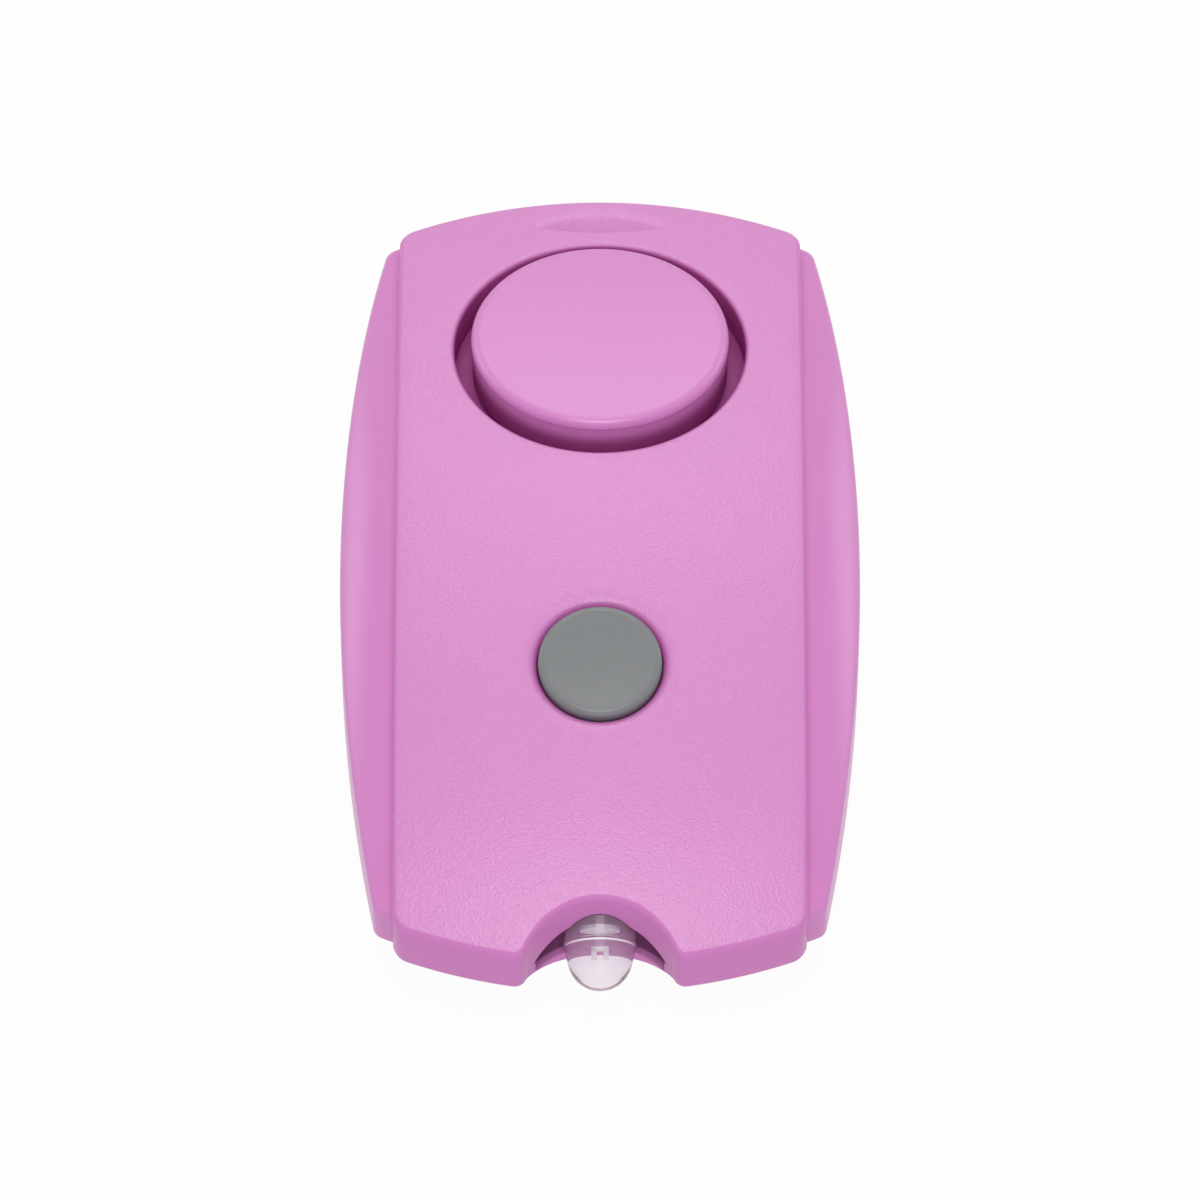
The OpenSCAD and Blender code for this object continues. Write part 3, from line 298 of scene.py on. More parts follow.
def barrel_centre(case):
    """Middle of the curve of the long side at +X."""
    return Vector((case.body_width / 2 - case.barrel_radius, 0, 0))


# Modelling


def meeting_point(low, low_radius, high, high_radius):
    """The point at +X where two circles meet whose centres lie on the Y axis."""
    gap = high - low
    y = (low_radius**2 - high_radius**2 + gap * gap) / (2 * gap)
    return Vector((math.sqrt(low_radius**2 - y * y), low + y, 0))


def turn_between(centre, start, end):
    """Signed angle from one point to another, seen from a centre in the plan."""
    a, b = (start - centre).to_2d(), (end - centre).to_2d()
    return math.atan2(a.x * b.y - a.y * b.x, a.dot(b))


class Ring:
    """A closed ring of edges; each vertex keeps a point and an outward direction."""

    def __init__(self, bm, edges, marks):
        self.bm, self.edges, self.marks = bm, edges, marks

    def extrude(self):
        """A new ring that a band of faces joins to this one."""
        made = bmesh.ops.extrude_edge_only(self.bm, edges=self.edges)["geom"]
        marks = {}
        for vert in (g for g in made if isinstance(g, bmesh.types.BMVert)):
            old = next(v for v in (e.other_vert(vert) for e in vert.link_edges) if v in self.marks)
            marks[vert] = self.marks[old]
        edges = [g for g in made if isinstance(g, bmesh.types.BMEdge) and all(v in marks for v in g.verts)]
        return Ring(self.bm, edges, marks)

    def draw_in(self, inset, height):
        """Sets the ring in from its outline by a distance, on a surface over the plan."""
        for vert, (point, way) in self.marks.items():
            place = point - way * inset
            vert.co = (place.x, place.y, height(place.x, place.y))
        return self

    def turn_to(self, place, radius, height):
        """Sets a round ring to a radius and a height along the axis of a place."""
        for vert, (_, way) in self.marks.items():
            vert.co = place @ (way * radius + UP * height)
        return self

    def cap(self):
        """Closes the ring with a face."""
        bmesh.ops.contextual_create(self.bm, geom=self.edges)


class Outline:
    """A closed line in the plan, drawn anticlockwise from arcs and straight runs."""

    def __init__(self, bm, start):
        self.bm = bm
        self.known = set(bm.edges)
        self.last = bm.verts.new(start)
        self.marks = {}

    def spin(self, way_out, **turn):
        """Sweeps the line's end on and notes the outward direction at each new vertex."""
        known = set(self.bm.verts) - {self.last}
        made = bmesh.ops.spin(self.bm, geom=[self.last], axis=UP, use_duplicate=False, **turn)
        for vert in self.bm.verts:
            if vert not in known and vert not in self.marks:
                self.marks[vert] = (vert.co.copy(), way_out(vert.co))
        self.last = next(g for g in made["geom_last"] if isinstance(g, bmesh.types.BMVert))

    def arc(self, centre, end, steps):
        """Turns about a centre until the line points at another place."""
        turn = turn_between(centre, self.last.co, end)
        side = math.copysign(1, turn)
        self.spin(lambda at: (at - centre).normalized() * side, cent=centre, angle=turn, steps=steps)

    def run(self, end, steps):
        """Runs straight to a place."""
        step = (end - self.last.co) / steps
        self.spin(lambda at: step.normalized().cross(UP), dvec=step, steps=steps)

    def edges(self):
        """The edges drawn so far."""
        return [e for e in self.bm.edges if e not in self.known]

    def close(self):
        """Joins the line's end to its start and returns it as a ring."""
        bmesh.ops.remove_doubles(self.bm, verts=list(self.marks), dist=SAME)
        return Ring(self.bm, self.edges(), {v: mark for v, mark in self.marks.items() if v.is_valid})


def circle(bm, steps):
    """A round ring, still to be set in its place."""
    verts = bmesh.ops.create_circle(bm, cap_ends=False, radius=1, segments=steps)["verts"]
    edges = list({e for v in verts for e in v.link_edges})
    return Ring(bm, edges, {v: (v.co.copy(), v.co.copy()) for v in verts})


def panel_outline(bm, case):
    """Outline of the front panel with its notch."""
    end, side = case.end_radius, case.panel_width / 2
    corner, lip = case.corner_radius, case.notch_corner
    end_y = case.panel_length / 2
    middle = end - end_y
    far, near = Vector((0, -middle, 0)), Vector((0, middle, 0))
    notch = Vector((0, -end_y + case.notch_depth - case.notch_radius, 0))
    x = side - corner
    y = math.sqrt((end - corner) ** 2 - x * x) - middle
    corner_at = Vector((x, y, 0))
    lip_at = meeting_point(notch.y, case.notch_radius + lip, near.y, end - lip)
    corner_end = far + (corner_at - far).normalized() * end
    lip_end = near + (lip_at - near).normalized() * end
    lip_notch = notch + (lip_at - notch).normalized() * case.notch_radius

    line = Outline(bm, Vector((side, y, 0)))
    line.arc(corner_at, corner_end, CORNER_STEPS)
    line.arc(far, FLIP_X @ corner_end, FAR_STEPS)
    line.arc(FLIP_X @ corner_at, Vector((-side, y, 0)), CORNER_STEPS)
    line.run(Vector((-side, -y, 0)), PANEL_SIDE_STEPS)
    line.arc(FLIP_X @ FLIP_Y @ corner_at, FLIP_X @ FLIP_Y @ corner_end, CORNER_STEPS)
    line.arc(near, FLIP_X @ lip_end, NEAR_STEPS)
    line.arc(FLIP_X @ lip_at, FLIP_X @ lip_notch, NOTCH_CORNER_STEPS)
    line.arc(notch, Vector((0, notch.y + case.notch_radius, 0)), NEAR_STEPS)
    line.arc(notch, lip_notch, NEAR_STEPS)
    line.arc(lip_at, lip_end, NOTCH_CORNER_STEPS)
    line.arc(near, FLIP_Y @ corner_end, NEAR_STEPS)
    line.arc(FLIP_Y @ corner_at, Vector((side, -y, 0)), CORNER_STEPS)
    line.run(Vector((side, y, 0)), PANEL_SIDE_STEPS)
    return line.close()


def wing_end(case, setback):
    """Centre, arc's end, corner's centre and side's start of the wing at +X, as if at the +Y end."""
    end, side, corner = case.end_radius - setback, case.barrel_radius, case.wing_corner
    centre = Vector((0, case.panel_length / 2 - case.end_radius, 0))
    barrel = barrel_centre(case)
    way = barrel - centre
    along = ((end - corner) ** 2 - (side - corner) ** 2 + way.length_squared) / (2 * way.length)
    across = math.sqrt((end - corner) ** 2 - along * along)
    way.normalize()
    corner_at = centre + way * along + way.cross(UP) * across
    on_end = centre + (corner_at - centre).normalized() * end
    return centre, on_end, corner_at, barrel + (corner_at - barrel).normalized() * side


def on_end_arc(case, setback, x):
    """The point at a distance from the middle line on the curved end, as if at the +Y end."""
    end = case.end_radius - setback
    return Vector((x, math.sqrt(end * end - x * x) + case.panel_length / 2 - case.end_radius, 0))


def wing_outline(bm, case):
    """Outline of the wing at +X, from inside the panel's wall to the barrel-shaped side."""
    near_setback, far_setback = case.wing_near_setback, case.wing_far_setback
    inner = case.panel_width / 2 - case.wing_overlap
    far, far_end, far_corner, far_side = wing_end(case, far_setback)
    near, near_end, near_corner, near_side = (FLIP_Y @ p for p in wing_end(case, near_setback))
    near_inner = FLIP_Y @ on_end_arc(case, near_setback, inner)
    line = Outline(bm, near_inner)
    line.arc(near, near_end, WING_END_STEPS)
    line.arc(near_corner, near_side, CORNER_STEPS)
    line.arc(barrel_centre(case), far_side, WING_SIDE_STEPS)
    line.arc(far_corner, far_end, CORNER_STEPS)
    line.arc(far, on_end_arc(case, far_setback, inner), WING_END_STEPS)
    line.run(near_inner, WING_INNER_STEPS)
    return line.close()


def rear_outline(bm, case, rear):
    """Outline of the whole case without its notch."""
    side, corner = case.panel_width / 2, case.corner_radius
    barrel = barrel_centre(case)
    far, far_end, far_corner, far_side = wing_end(case, 0)
    setback = case.wing_near_setback + rear.end_setback
    near, near_end, near_corner, near_side = (FLIP_Y @ p for p in wing_end(case, setback))
    step = FLIP_Y @ on_end_arc(case, setback, side)
    corner_at = FLIP_Y @ on_end_arc(case, corner, side - corner)
    corner_side = corner_at + Vector((corner, 0, 0))
    corner_end = near + (corner_at - near).normalized() * case.end_radius
    line = Outline(bm, step)
    line.arc(near, near_end, CORNER_STEPS)
    line.arc(near_corner, near_side, CORNER_STEPS)
    line.arc(barrel, far_side, REAR_SIDE_STEPS)
    line.arc(far_corner, far_end, CORNER_STEPS)
    line.arc(far, FLIP_X @ far_end, REAR_END_STEPS)
    line.arc(FLIP_X @ far_corner, FLIP_X @ far_side, CORNER_STEPS)
    line.arc(FLIP_X @ barrel, FLIP_X @ near_side, REAR_SIDE_STEPS)
    line.arc(FLIP_X @ near_corner, FLIP_X @ near_end, CORNER_STEPS)
    line.arc(near, FLIP_X @ step, CORNER_STEPS)
    line.run(FLIP_X @ corner_side, 1)
    line.arc(FLIP_X @ corner_at, FLIP_X @ corner_end, CORNER_STEPS)
    line.arc(near, corner_end, REAR_END_STEPS)
    line.arc(corner_at, corner_side, CORNER_STEPS)
    line.run(step, 1)
    return line.close()


def face_outward(bm):
    """Turns the faces of a closed body outward."""
    bmesh.ops.recalc_face_normals(bm, faces=bm.faces[:])
    if bm.calc_volume(signed=True) < 0:
        bmesh.ops.reverse_faces(bm, faces=bm.faces[:])


def ends_of(edges):
    """The vertices at the ends of edges."""
    return {v for e in edges for v in e.verts}


def cover_plan(bm, loops, height, longest):
    """Fills the plan between closed lines with even triangles and lifts them to a surface."""
    rim = {e for loop in loops for e in loop}
    fixed = ends_of(rim)
    known = set(bm.faces)
    for v in fixed:
        v.co.z = 0
    bmesh.ops.triangle_fill(bm, use_beauty=True, use_dissolve=False, edges=list(rim), normal=UP)
    for _ in range(12):
        large = [f for f in bm.faces if f not in known and f.calc_area() > longest**2 / 2]
        if not large:
            break
        bmesh.ops.poke(bm, faces=large)
        faces = [f for f in bm.faces if f not in known]
        inner = {e for f in faces for e in f.edges} - rim
        bmesh.ops.beautify_fill(bm, faces=faces, edges=list(inner))
    verts = {v for f in bm.faces if f not in known for v in f.verts}
    inner = list(verts - fixed)
    for _ in range(10):
        bmesh.ops.smooth_vert(bm, verts=inner, factor=0.5, use_axis_x=True, use_axis_y=True)
    for v in verts:
        v.co.z = height(v.co.x, v.co.y)


def rounding(radius, steps):
    """Insets and drops of the rings that round an edge, from its flat side to its wall."""
    turns = [QUARTER * i / steps for i in range(steps + 1)]
    return [(radius * (1 - math.sin(a)), radius * (1 - math.cos(a))) for a in turns]


def turned(profile, place, steps):
    """A closed body of revolution from points of radius and height along its axis."""
    bm = bmesh.new()
    verts = [bm.verts.new((r, 0, z)) for r, z in profile]
    shape = verts + [bm.edges.new(pair) for pair in zip(verts, verts[1:])]
    whole = {"cent": (0, 0, 0), "axis": UP, "angle": 2 * math.pi}
    bmesh.ops.spin(bm, geom=shape, steps=steps, use_merge=True, **whole)
    bmesh.ops.remove_doubles(bm, verts=bm.verts[:], dist=SAME)
    face_outward(bm)
    bmesh.ops.transform(bm, matrix=place, verts=bm.verts[:])
    return bm


def rod(place, radius, bottom, top, steps):
    """A closed cylinder along the axis of a place."""
    return turned([(0, bottom), (radius, bottom), (radius, top), (0, top)], place, steps)


def sector(y, radii, heights, start, sweep):
    """Part of a ring about a point on the middle line."""
    bm = bmesh.new()
    bmesh.ops.create_grid(bm, x_segments=1, y_segments=1, size=0.5)
    size = Matrix.Diagonal((radii[1] - radii[0], heights[1] - heights[0], 1, 1))
    upright = Matrix.Rotation(QUARTER, 4, "X")
    place = Matrix.Translation((sum(radii) / 2, 0, sum(heights) / 2)) @ upright
    bmesh.ops.transform(bm, matrix=place @ size, verts=bm.verts[:])
    turn = Matrix.Rotation(start, 3, "Z")
    bmesh.ops.rotate(bm, cent=(0, 0, 0), matrix=turn, verts=bm.verts[:])
    shape = bm.verts[:] + bm.edges[:] + bm.faces[:]
    bmesh.ops.spin(bm, geom=shape, cent=(0, 0, 0), axis=UP, angle=sweep, steps=32)
    bmesh.ops.translate(bm, vec=(0, y, 0), verts=bm.verts[:])
    face_outward(bm)
    return bm


def round_ring(bm, place, radius, height, offset, segments):
    """Rounds the circular edge of a turned body that lies at a radius and a height."""
    back = place.inverted()

    def on_ring(vert):
        p = back @ vert.co
        return math.hypot(math.hypot(p.x, p.y) - radius, p.z - height) < 1e-6

    ring = [e for e in bm.edges if all(on_ring(v) for v in e.verts)]
    style = {"offset_type": "OFFSET", "profile": 0.5, "affect": "EDGES", "material": -1}
    bmesh.ops.bevel(bm, geom=ring, offset=offset, segments=segments, **style)


def as_piece(bm, name, finish, body, sharp=math.radians(35)):
    """Makes a piece of a finished mesh, rides it on its body and names its finish."""
    mesh = bpy.data.meshes.new(name)
    bm.to_mesh(mesh)
    bm.free()
    mesh.shade_smooth()
    mesh.set_sharp_from_angle(angle=sharp)
    mesh.materials.append(finishes()[finish])
    piece = bpy.data.objects.new(name, mesh)
    bpy.context.scene.collection.objects.link(piece)
    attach(piece, body)
    return piece


def carve(bm, cutters):
    """Cuts closed bodies out of another and returns what is left."""
    solids = []
    for i, shape in enumerate([bm, *cutters]):
        solid = bpy.data.objects.new(f"carving_{i}", bpy.data.meshes.new(f"carving_{i}"))
        shape.to_mesh(solid.data)
        shape.free()
        bpy.context.scene.collection.objects.link(solid)
        solids.append(solid)
    work = solids[0]
    for tool in solids[1:]:
        cut = work.modifiers.new(tool.name, "BOOLEAN")
        cut.operation = "DIFFERENCE"
        cut.solver = "EXACT"
        cut.object = tool
    bpy.context.view_layer.update()
    made = work.evaluated_get(bpy.context.evaluated_depsgraph_get()).to_mesh()
    left = bmesh.new()
    left.from_mesh(made)
    for solid in solids:
        mesh = solid.data
        bpy.data.objects.remove(solid)
        bpy.data.meshes.remove(mesh)
    bmesh.ops.remove_doubles(left, verts=left.verts[:], dist=CARVED)
    return left


# Finishes


def feed(tree, node, inputs):
    """Sets a node's inputs: joins on another node's output, or sets a plain value."""
    for key, value in inputs.items():
        if isinstance(value, bpy.types.NodeSocket):
            tree.links.new(value, node.inputs[key])
        else:
            node.inputs[key].default_value = value


def add_node(tree, kind, inputs, **settings):
    """A new shader node with its settings and its inputs."""
    node = tree.nodes.new(f"ShaderNode{kind}")
    for key, value in settings.items():
        setattr(node, key, value)
    feed(tree, node, inputs)
    return node


def worked(tree, operation, *values):
    """The result of a sum, product or comparison of values."""
    node = add_node(tree, "Math", dict(enumerate(values)), operation=operation)
    return node.outputs["Value"]


def spread(tree, value, low, high, at_low=0.0, at_high=1.0):
    """Maps a value from one range to another and holds it at the ends."""
    sockets = ("Value", "From Min", "From Max", "To Min", "To Max")
    node = add_node(tree, "MapRange", dict(zip(sockets, (value, low, high, at_low, at_high))))
    return node.outputs["Result"]


def blend(tree, share, first, second):
    """Mixes two colours."""
    inputs = {"Factor": share, "A": first, "B": second}
    return add_node(tree, "Mix", inputs, data_type="RGBA").outputs["Result"]


def own_place(tree, kind="Object"):
    """The piece's own coordinates."""
    return add_node(tree, "TexCoord", {}).outputs[kind]


def noise(tree, scale, detail, roughness=0.5):
    """Noise on the piece's own coordinates; the scale is in patches to the metre."""
    inputs = {"Vector": own_place(tree), "Scale": scale, "Detail": detail, "Roughness": roughness}
    return add_node(tree, "TexNoise", inputs).outputs["Fac"]


def mottle(tree, base, amount, scale):
    """A colour that varies slightly over the surface."""
    low = [c * (1 - amount) for c in base]
    high = [min(c * (1 + amount), 1) for c in base]
    return blend(tree, noise(tree, scale, 3), (*low, 1), (*high, 1))


def new_finish(name):
    """The node tree and the shader of a new material."""
    material = bpy.data.materials.new(name)
    material.use_nodes = True
    return material.node_tree, material.node_tree.nodes["Principled BSDF"]


def moulded_plastic(
    name, base, rough, grain, depth, amount=0.02, shine=0.5, edge=0, top_shine=0, top=(0.8, 0.88), hollow=0
):
    """Injection-moulded plastic with a fine spark grain.

    Where asked, it keeps its grain and a stronger sheen to its top, is given painted shade that darkens
    its colour and dims its reflections in recesses within a reach, and has softened edges.
    """
    tree, shader = new_finish(name)
    tint, sheen = mottle(tree, base, amount, 160), shine
    fine = noise(tree, 1 / grain, 2.5, 0.55)
    bump = {"Strength": 1.0, "Distance": depth, "Height": fine}
    if top_shine:
        split = add_node(tree, "SeparateXYZ", {"Vector": own_place(tree, "Normal")})
        bump["Strength"] = spread(tree, split.outputs["Z"], *top)
        sheen = spread(tree, bump["Strength"], 0, 1, shine, top_shine)
    # Painted shade: ambient occlusion darkens the colour and dims the reflections in recesses, where shade
    # falls
    if hollow:
        shade_probe = add_node(tree, "AmbientOcclusion", {"Distance": hollow}, samples=8)
        unshaded_share = spread(tree, shade_probe.outputs["AO"], *PAINTED_SHADE_RANGE)
        deep = [c * share for c, share in zip(base, PAINTED_SHADE_TINT)]
        tint = blend(tree, unshaded_share, (*deep, 1), tint)
        sheen = worked(tree, "MULTIPLY", sheen, unshaded_share)
    if edge:
        bump["Normal"] = add_node(tree, "Bevel", {"Radius": edge}, samples=6).outputs["Normal"]
    inputs = {
        "Base Color": tint,
        "Roughness": spread(tree, fine, *NOISE, rough * 0.96, rough * 1.04),
        "Specular IOR Level": sheen,
        "Normal": add_node(tree, "Bump", bump).outputs["Normal"],
    }
    feed(tree, shader, inputs)


def worn_metal(name, base, rough):
    """Plain metal with a faint uneven polish."""
    tree, shader = new_finish(name)
    polish = spread(tree, noise(tree, 2500, 3), *NOISE, rough * 0.8, rough * 1.3)
    tint = mottle(tree, base, 0.06, 900)
    feed(tree, shader, {"Base Color": tint, "Metallic": 1.0, "Roughness": polish})


def clear_resin(name, deep, clear, highlight_white, reach, highlight_at, highlight_width):
    """Slightly milky cast resin, deeper towards the case, with a painted highlight: a white, less clear band
    on its top by the bead.
    """
    tree, shader = new_finish(name)
    place = own_place(tree)
    split = add_node(tree, "SeparateXYZ", {"Vector": place})
    tint = blend(tree, spread(tree, split.outputs["Y"], *reach), (*clear, 1), (*deep, 1))
    # Painted highlight: a white, less clear band on the upper half of the lens next to the bead
    beam, middle = highlight_at.to_3x3().col[2], highlight_at.translation
    along = add_node(tree, "VectorMath", {0: place, 1: beam}, operation="DOT_PRODUCT")
    off = worked(tree, "SUBTRACT", along.outputs["Value"], middle.dot(beam))
    clear_of_highlight = spread(tree, worked(tree, "ABSOLUTE", off), highlight_width * 0.5, highlight_width)
    under = worked(tree, "LESS_THAN", split.outputs["Z"], middle.z)
    plain = worked(tree, "MAXIMUM", clear_of_highlight, under)
    inputs = {
        "Base Color": blend(tree, plain, (*highlight_white, 1), tint),
        "Transmission Weight": spread(tree, plain, *NOISE, 0.1, 0.85),
        "Roughness": spread(tree, noise(tree, 700, 2), *NOISE, 0.02, 0.05),
        "IOR": 1.22,
        "Coat Weight": 0.25,
        "Coat Roughness": 0.03,
    }
    feed(tree, shader, inputs)


# Painted shade in recesses: the share of open sky below which it is darkest and above which there is none,
# its shaded colour as a share of the base, and its reach
PAINTED_SHADE_RANGE, PAINTED_SHADE_TINT, PAINTED_SHADE_REACH = (0.25, 0.7), (0.67, 0.36, 0.56), 0.004

# Colour, roughness, grain size and grain depth, and for some the amount of mottling
PLAIN_PLASTICS = {
    "alarm_white_plastic": ((0.82, 0.81, 0.76), 0.45, 0.0003, 0.000004),
    "alarm_black_plastic": ((0.02, 0.02, 0.022), 0.5, 0.0003, 0.000006),
    "alarm_black_rubber": ((0.016, 0.016, 0.016), 0.75, 0.0004, 0.00001),
    "alarm_ceramic": ((0.8, 0.78, 0.72), 0.7, 0.0002, 0.000004),
    "alarm_board_green": ((0.012, 0.12, 0.045), 0.3, 0.0012, 0.000008, 0.12),
    "alarm_tinned_lead": ((0.72, 0.68, 0.72), 0.35, 0.0003, 0.000004, 0.02, 1.0),
}
# Colour and roughness
METALS = {
    "alarm_steel": ((0.62, 0.63, 0.65), 0.28),
    "alarm_brass": ((0.72, 0.5, 0.2), 0.3),
    "alarm_copper": ((0.7, 0.3, 0.14), 0.35),
}
# Colours of the lamp's resin at the case and at its tip, the white of the painted highlight band on its top,
# and the fade's two ends
RESIN_AND_HIGHLIGHT = ((0.86, 0.75, 0.85), (0.98, 0.95, 0.98), (0.97, 0.95, 0.97), (-0.0324, -0.0311))


def finishes():
    """The finishes by name, made once."""
    if "alarm_panel_grain" in bpy.data.materials:
        return bpy.data.materials
    scene = bpy.context.scene
    look, lamp = scene.alarm_finish, scene.alarm_lamp
    pink, grey = tuple(look.case_colour), tuple(look.button_colour)
    grain, depth, shine, satin = look.grain, look.grain_depth, look.case_shine, look.satin_roughness
    # The panel and the cap get painted shade in their recesses
    wall_shine_and_painted_shade = {"shine": 0.25 * shine, "hollow": PAINTED_SHADE_REACH}
    moulded_plastic(
        "alarm_panel_grain", pink, look.panel_roughness, grain, depth, top_shine=2.0 * shine, **wall_shine_and_painted_shade
    )
    moulded_plastic(
        "alarm_cap_pink", pink, satin, grain, depth * 0.06, top_shine=1.8 * shine, top=(0.6, 0.85), **wall_shine_and_painted_shade
    )
    moulded_plastic("alarm_satin_pink", pink, satin, grain * 1.5, depth * 0.06, shine=1.4 * shine)
    moulded_plastic("alarm_back_pink", pink, 0.5, grain, depth * 0.2, shine=shine, edge=0.0002)
    moulded_plastic("alarm_button_grey", grey, 0.33, grain, depth * 0.1, shine=0.42)
    for name, values in PLAIN_PLASTICS.items():
        moulded_plastic(name, *values)
    for name, values in METALS.items():
        worn_metal(name, *values)
    # Where the painted highlight band lies on the lens
    highlight_at = at_lamp(scene.alarm_case, lamp) @ Matrix.Translation((0, 0, lamp.highlight_place))
    clear_resin("alarm_clear_resin", *RESIN_AND_HIGHLIGHT, highlight_at, 2 * lamp.step)
    return bpy.data.materials


# Operators


class ALARM_OT_front_panel(bpy.types.Operator):
    """Models the crowned front panel with its recess, button hole, scoop and notch"""

    bl_idname = "alarm.front_panel"
    bl_label = "Front Panel"

    def execute(self, context):
        scene = context.scene
        case, siren, button, lamp = scene.alarm_case, scene.alarm_siren, scene.alarm_button, scene.alarm_lamp
        siren_at, button_at = siren_frame(case, siren), button_frame(case, button)
        end_y = case.panel_length / 2

        def sag(radius, inset=0.0):
            ball = case.crown_radius - inset
            return -inset - ball + math.sqrt(ball * ball - radius * radius)

        def outer(x, y):
            nose = max(case.nose_reach - end_y - y, 0.0) / case.nose_reach
            return crown_height(case, x, y) - case.nose_drop * nose * nose

        def inner(x, y):
            return crown_height(case, x, y, case.wall)

        ball, recess, rim = case.crown_radius, siren.recess_radius, siren.rim
        tube = math.sqrt((ball - rim) ** 2 - (recess + rim) ** 2) - ball
        start = math.atan2(tube + ball, recess + rim)
        turns = [start + (math.pi - start) * i / RIM_STEPS for i in range(RIM_STEPS + 1)]
        rim_rings = [(recess + rim + rim * math.cos(a), tube + rim * math.sin(a)) for a in turns]

        bm = bmesh.new()
        edge = rounding(case.panel_edge, PANEL_EDGE_STEPS)
        rim_ring = circle(bm, ROUND_STEPS).turn_to(siren_at, *rim_rings[0])
        hole_ring = circle(bm, BUTTON_STEPS).turn_to(button_at, button.hole_radius + button.bevel, 0)
        wall = panel_outline(bm, case).draw_in(edge[0][0], outer)

        ends = Vector((0, end_y - case.scoop_margin - case.scoop_far_radius, 0))
        front = Vector((0, end_y - case.scoop_reach + case.scoop_edge_radius, 0))
        tip = meeting_point(ends.y, case.scoop_far_radius, front.y, case.scoop_edge_radius)
        line = Outline(bm, Vector((-tip.x, tip.y, 0)))
        line.arc(front, tip, SCOOP_NEAR_STEPS)
        scoop_near = line.edges()
        line.arc(ends, Vector((-tip.x, tip.y, 0)), SCOOP_FAR_STEPS)
        scoop_ring = line.close()
        scoop_near = [e for e in scoop_near if e.is_valid]
        loops = [wall.edges, rim_ring.edges, hole_ring.edges, scoop_ring.edges]
        cover_plan(bm, loops, outer, PANEL_MESH)

        def hollow(x, y):
            """Height of the scoop's floor, deepest at its near edge and level at its far edge."""
            deepest = case.scoop_far_radius**2 - (end_y - case.scoop_reach - ends.y) ** 2
            share = (case.scoop_far_radius**2 - x * x - (y - ends.y) ** 2) / deepest
            return outer(x, y) - case.scoop_depth * max(share, 0.0)

        far_edges = [e for e in scoop_ring.edges if e not in scoop_near]
        tips = ends_of(scoop_near) & ends_of(far_edges)
        made = bmesh.ops.extrude_edge_only(bm, edges=scoop_near)["geom"]
        low = {g for g in made if isinstance(g, bmesh.types.BMVert)}
        joins = {v: e.other_vert(v) for v in low for e in v.link_edges if e.other_vert(v) in tips}
        bmesh.ops.weld_verts(bm, targetmap=joins)
        low = low - set(joins) | tips
        low_edges = [e for e in bm.edges if set(e.verts) <= low]
        cover_plan(bm, [far_edges, low_edges], hollow, SCOOP_MESH)

        for inset, drop in edge[1:]:
            wall = wall.extrude().draw_in(inset, lambda x, y: outer(x, y) - drop)
        for inset, drop in reversed(rounding(case.lower_edge, LOWER_EDGE_STEPS)):
            wall = wall.extrude().draw_in(inset, lambda x, y: case.seam - case.skirt + drop)
        wall = wall.extrude().draw_in(case.skin, lambda x, y: case.seam - case.skirt)
        wall = wall.extrude().draw_in(case.skin, inner)
        for radius, height in (
            (button.hole_radius, sag(button.hole_radius) - button.bevel_depth),
            (button.seat_radius, -button.seat_depth),
            (button.seat_radius, sag(button.seat_radius, case.wall)),
        ):
            hole_ring = hole_ring.extrude().turn_to(button_at, radius, height)
        for radius, height in [*rim_rings[1:], (recess, -siren.recess_depth)]:
            rim_ring = rim_ring.extrude().turn_to(siren_at, radius, height)
        rim_ring.cap()
        cup = circle(bm, ROUND_STEPS)
        cup.turn_to(siren_at, siren.cup_radius, sag(siren.cup_radius, case.wall))
        cover_plan(bm, [wall.edges, hole_ring.edges, cup.edges], inner, INNER_MESH)
        for radius, depth in (
            (siren.cup_radius, siren.cup_depth),
            (siren.seat_radius, siren.cup_depth),
            (siren.seat_radius, siren.seat_depth),
        ):
            cup = cup.extrude().turn_to(siren_at, radius, -depth)
        cup.cap()
        face_outward(bm)

        slot_radius = ((case.slot_width / 2) ** 2 + case.slot_height**2) / (2 * case.slot_height)
        slot_end = case.notch_depth + case.wall + OVER
        lens_back = -lamp.barrel + lamp.flange
        along = Matrix.Rotation(-QUARTER, 4, "X")
        slot_at = Matrix.Translation((0, -end_y, case.seam + case.slot_height - slot_radius)) @ along
        pin_at = Matrix.Translation((0, end_y, case.pin_height)) @ along
        cutters = [
            rod(slot_at, slot_radius, -2 * OVER, slot_end, SLOT_STEPS),
            rod(at_lamp(case, lamp), lamp_bore(lamp), lens_back, LENS_OVER, BORE_STEPS),
            rod(pin_at, case.pin_radius, -PIN_DEPTH, OVER, BORE_STEPS),
        ]
        piece = as_piece(carve(bm, cutters), "front_panel", "alarm_panel_grain", "case")
        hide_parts("front_cover")
        return {"FINISHED"}


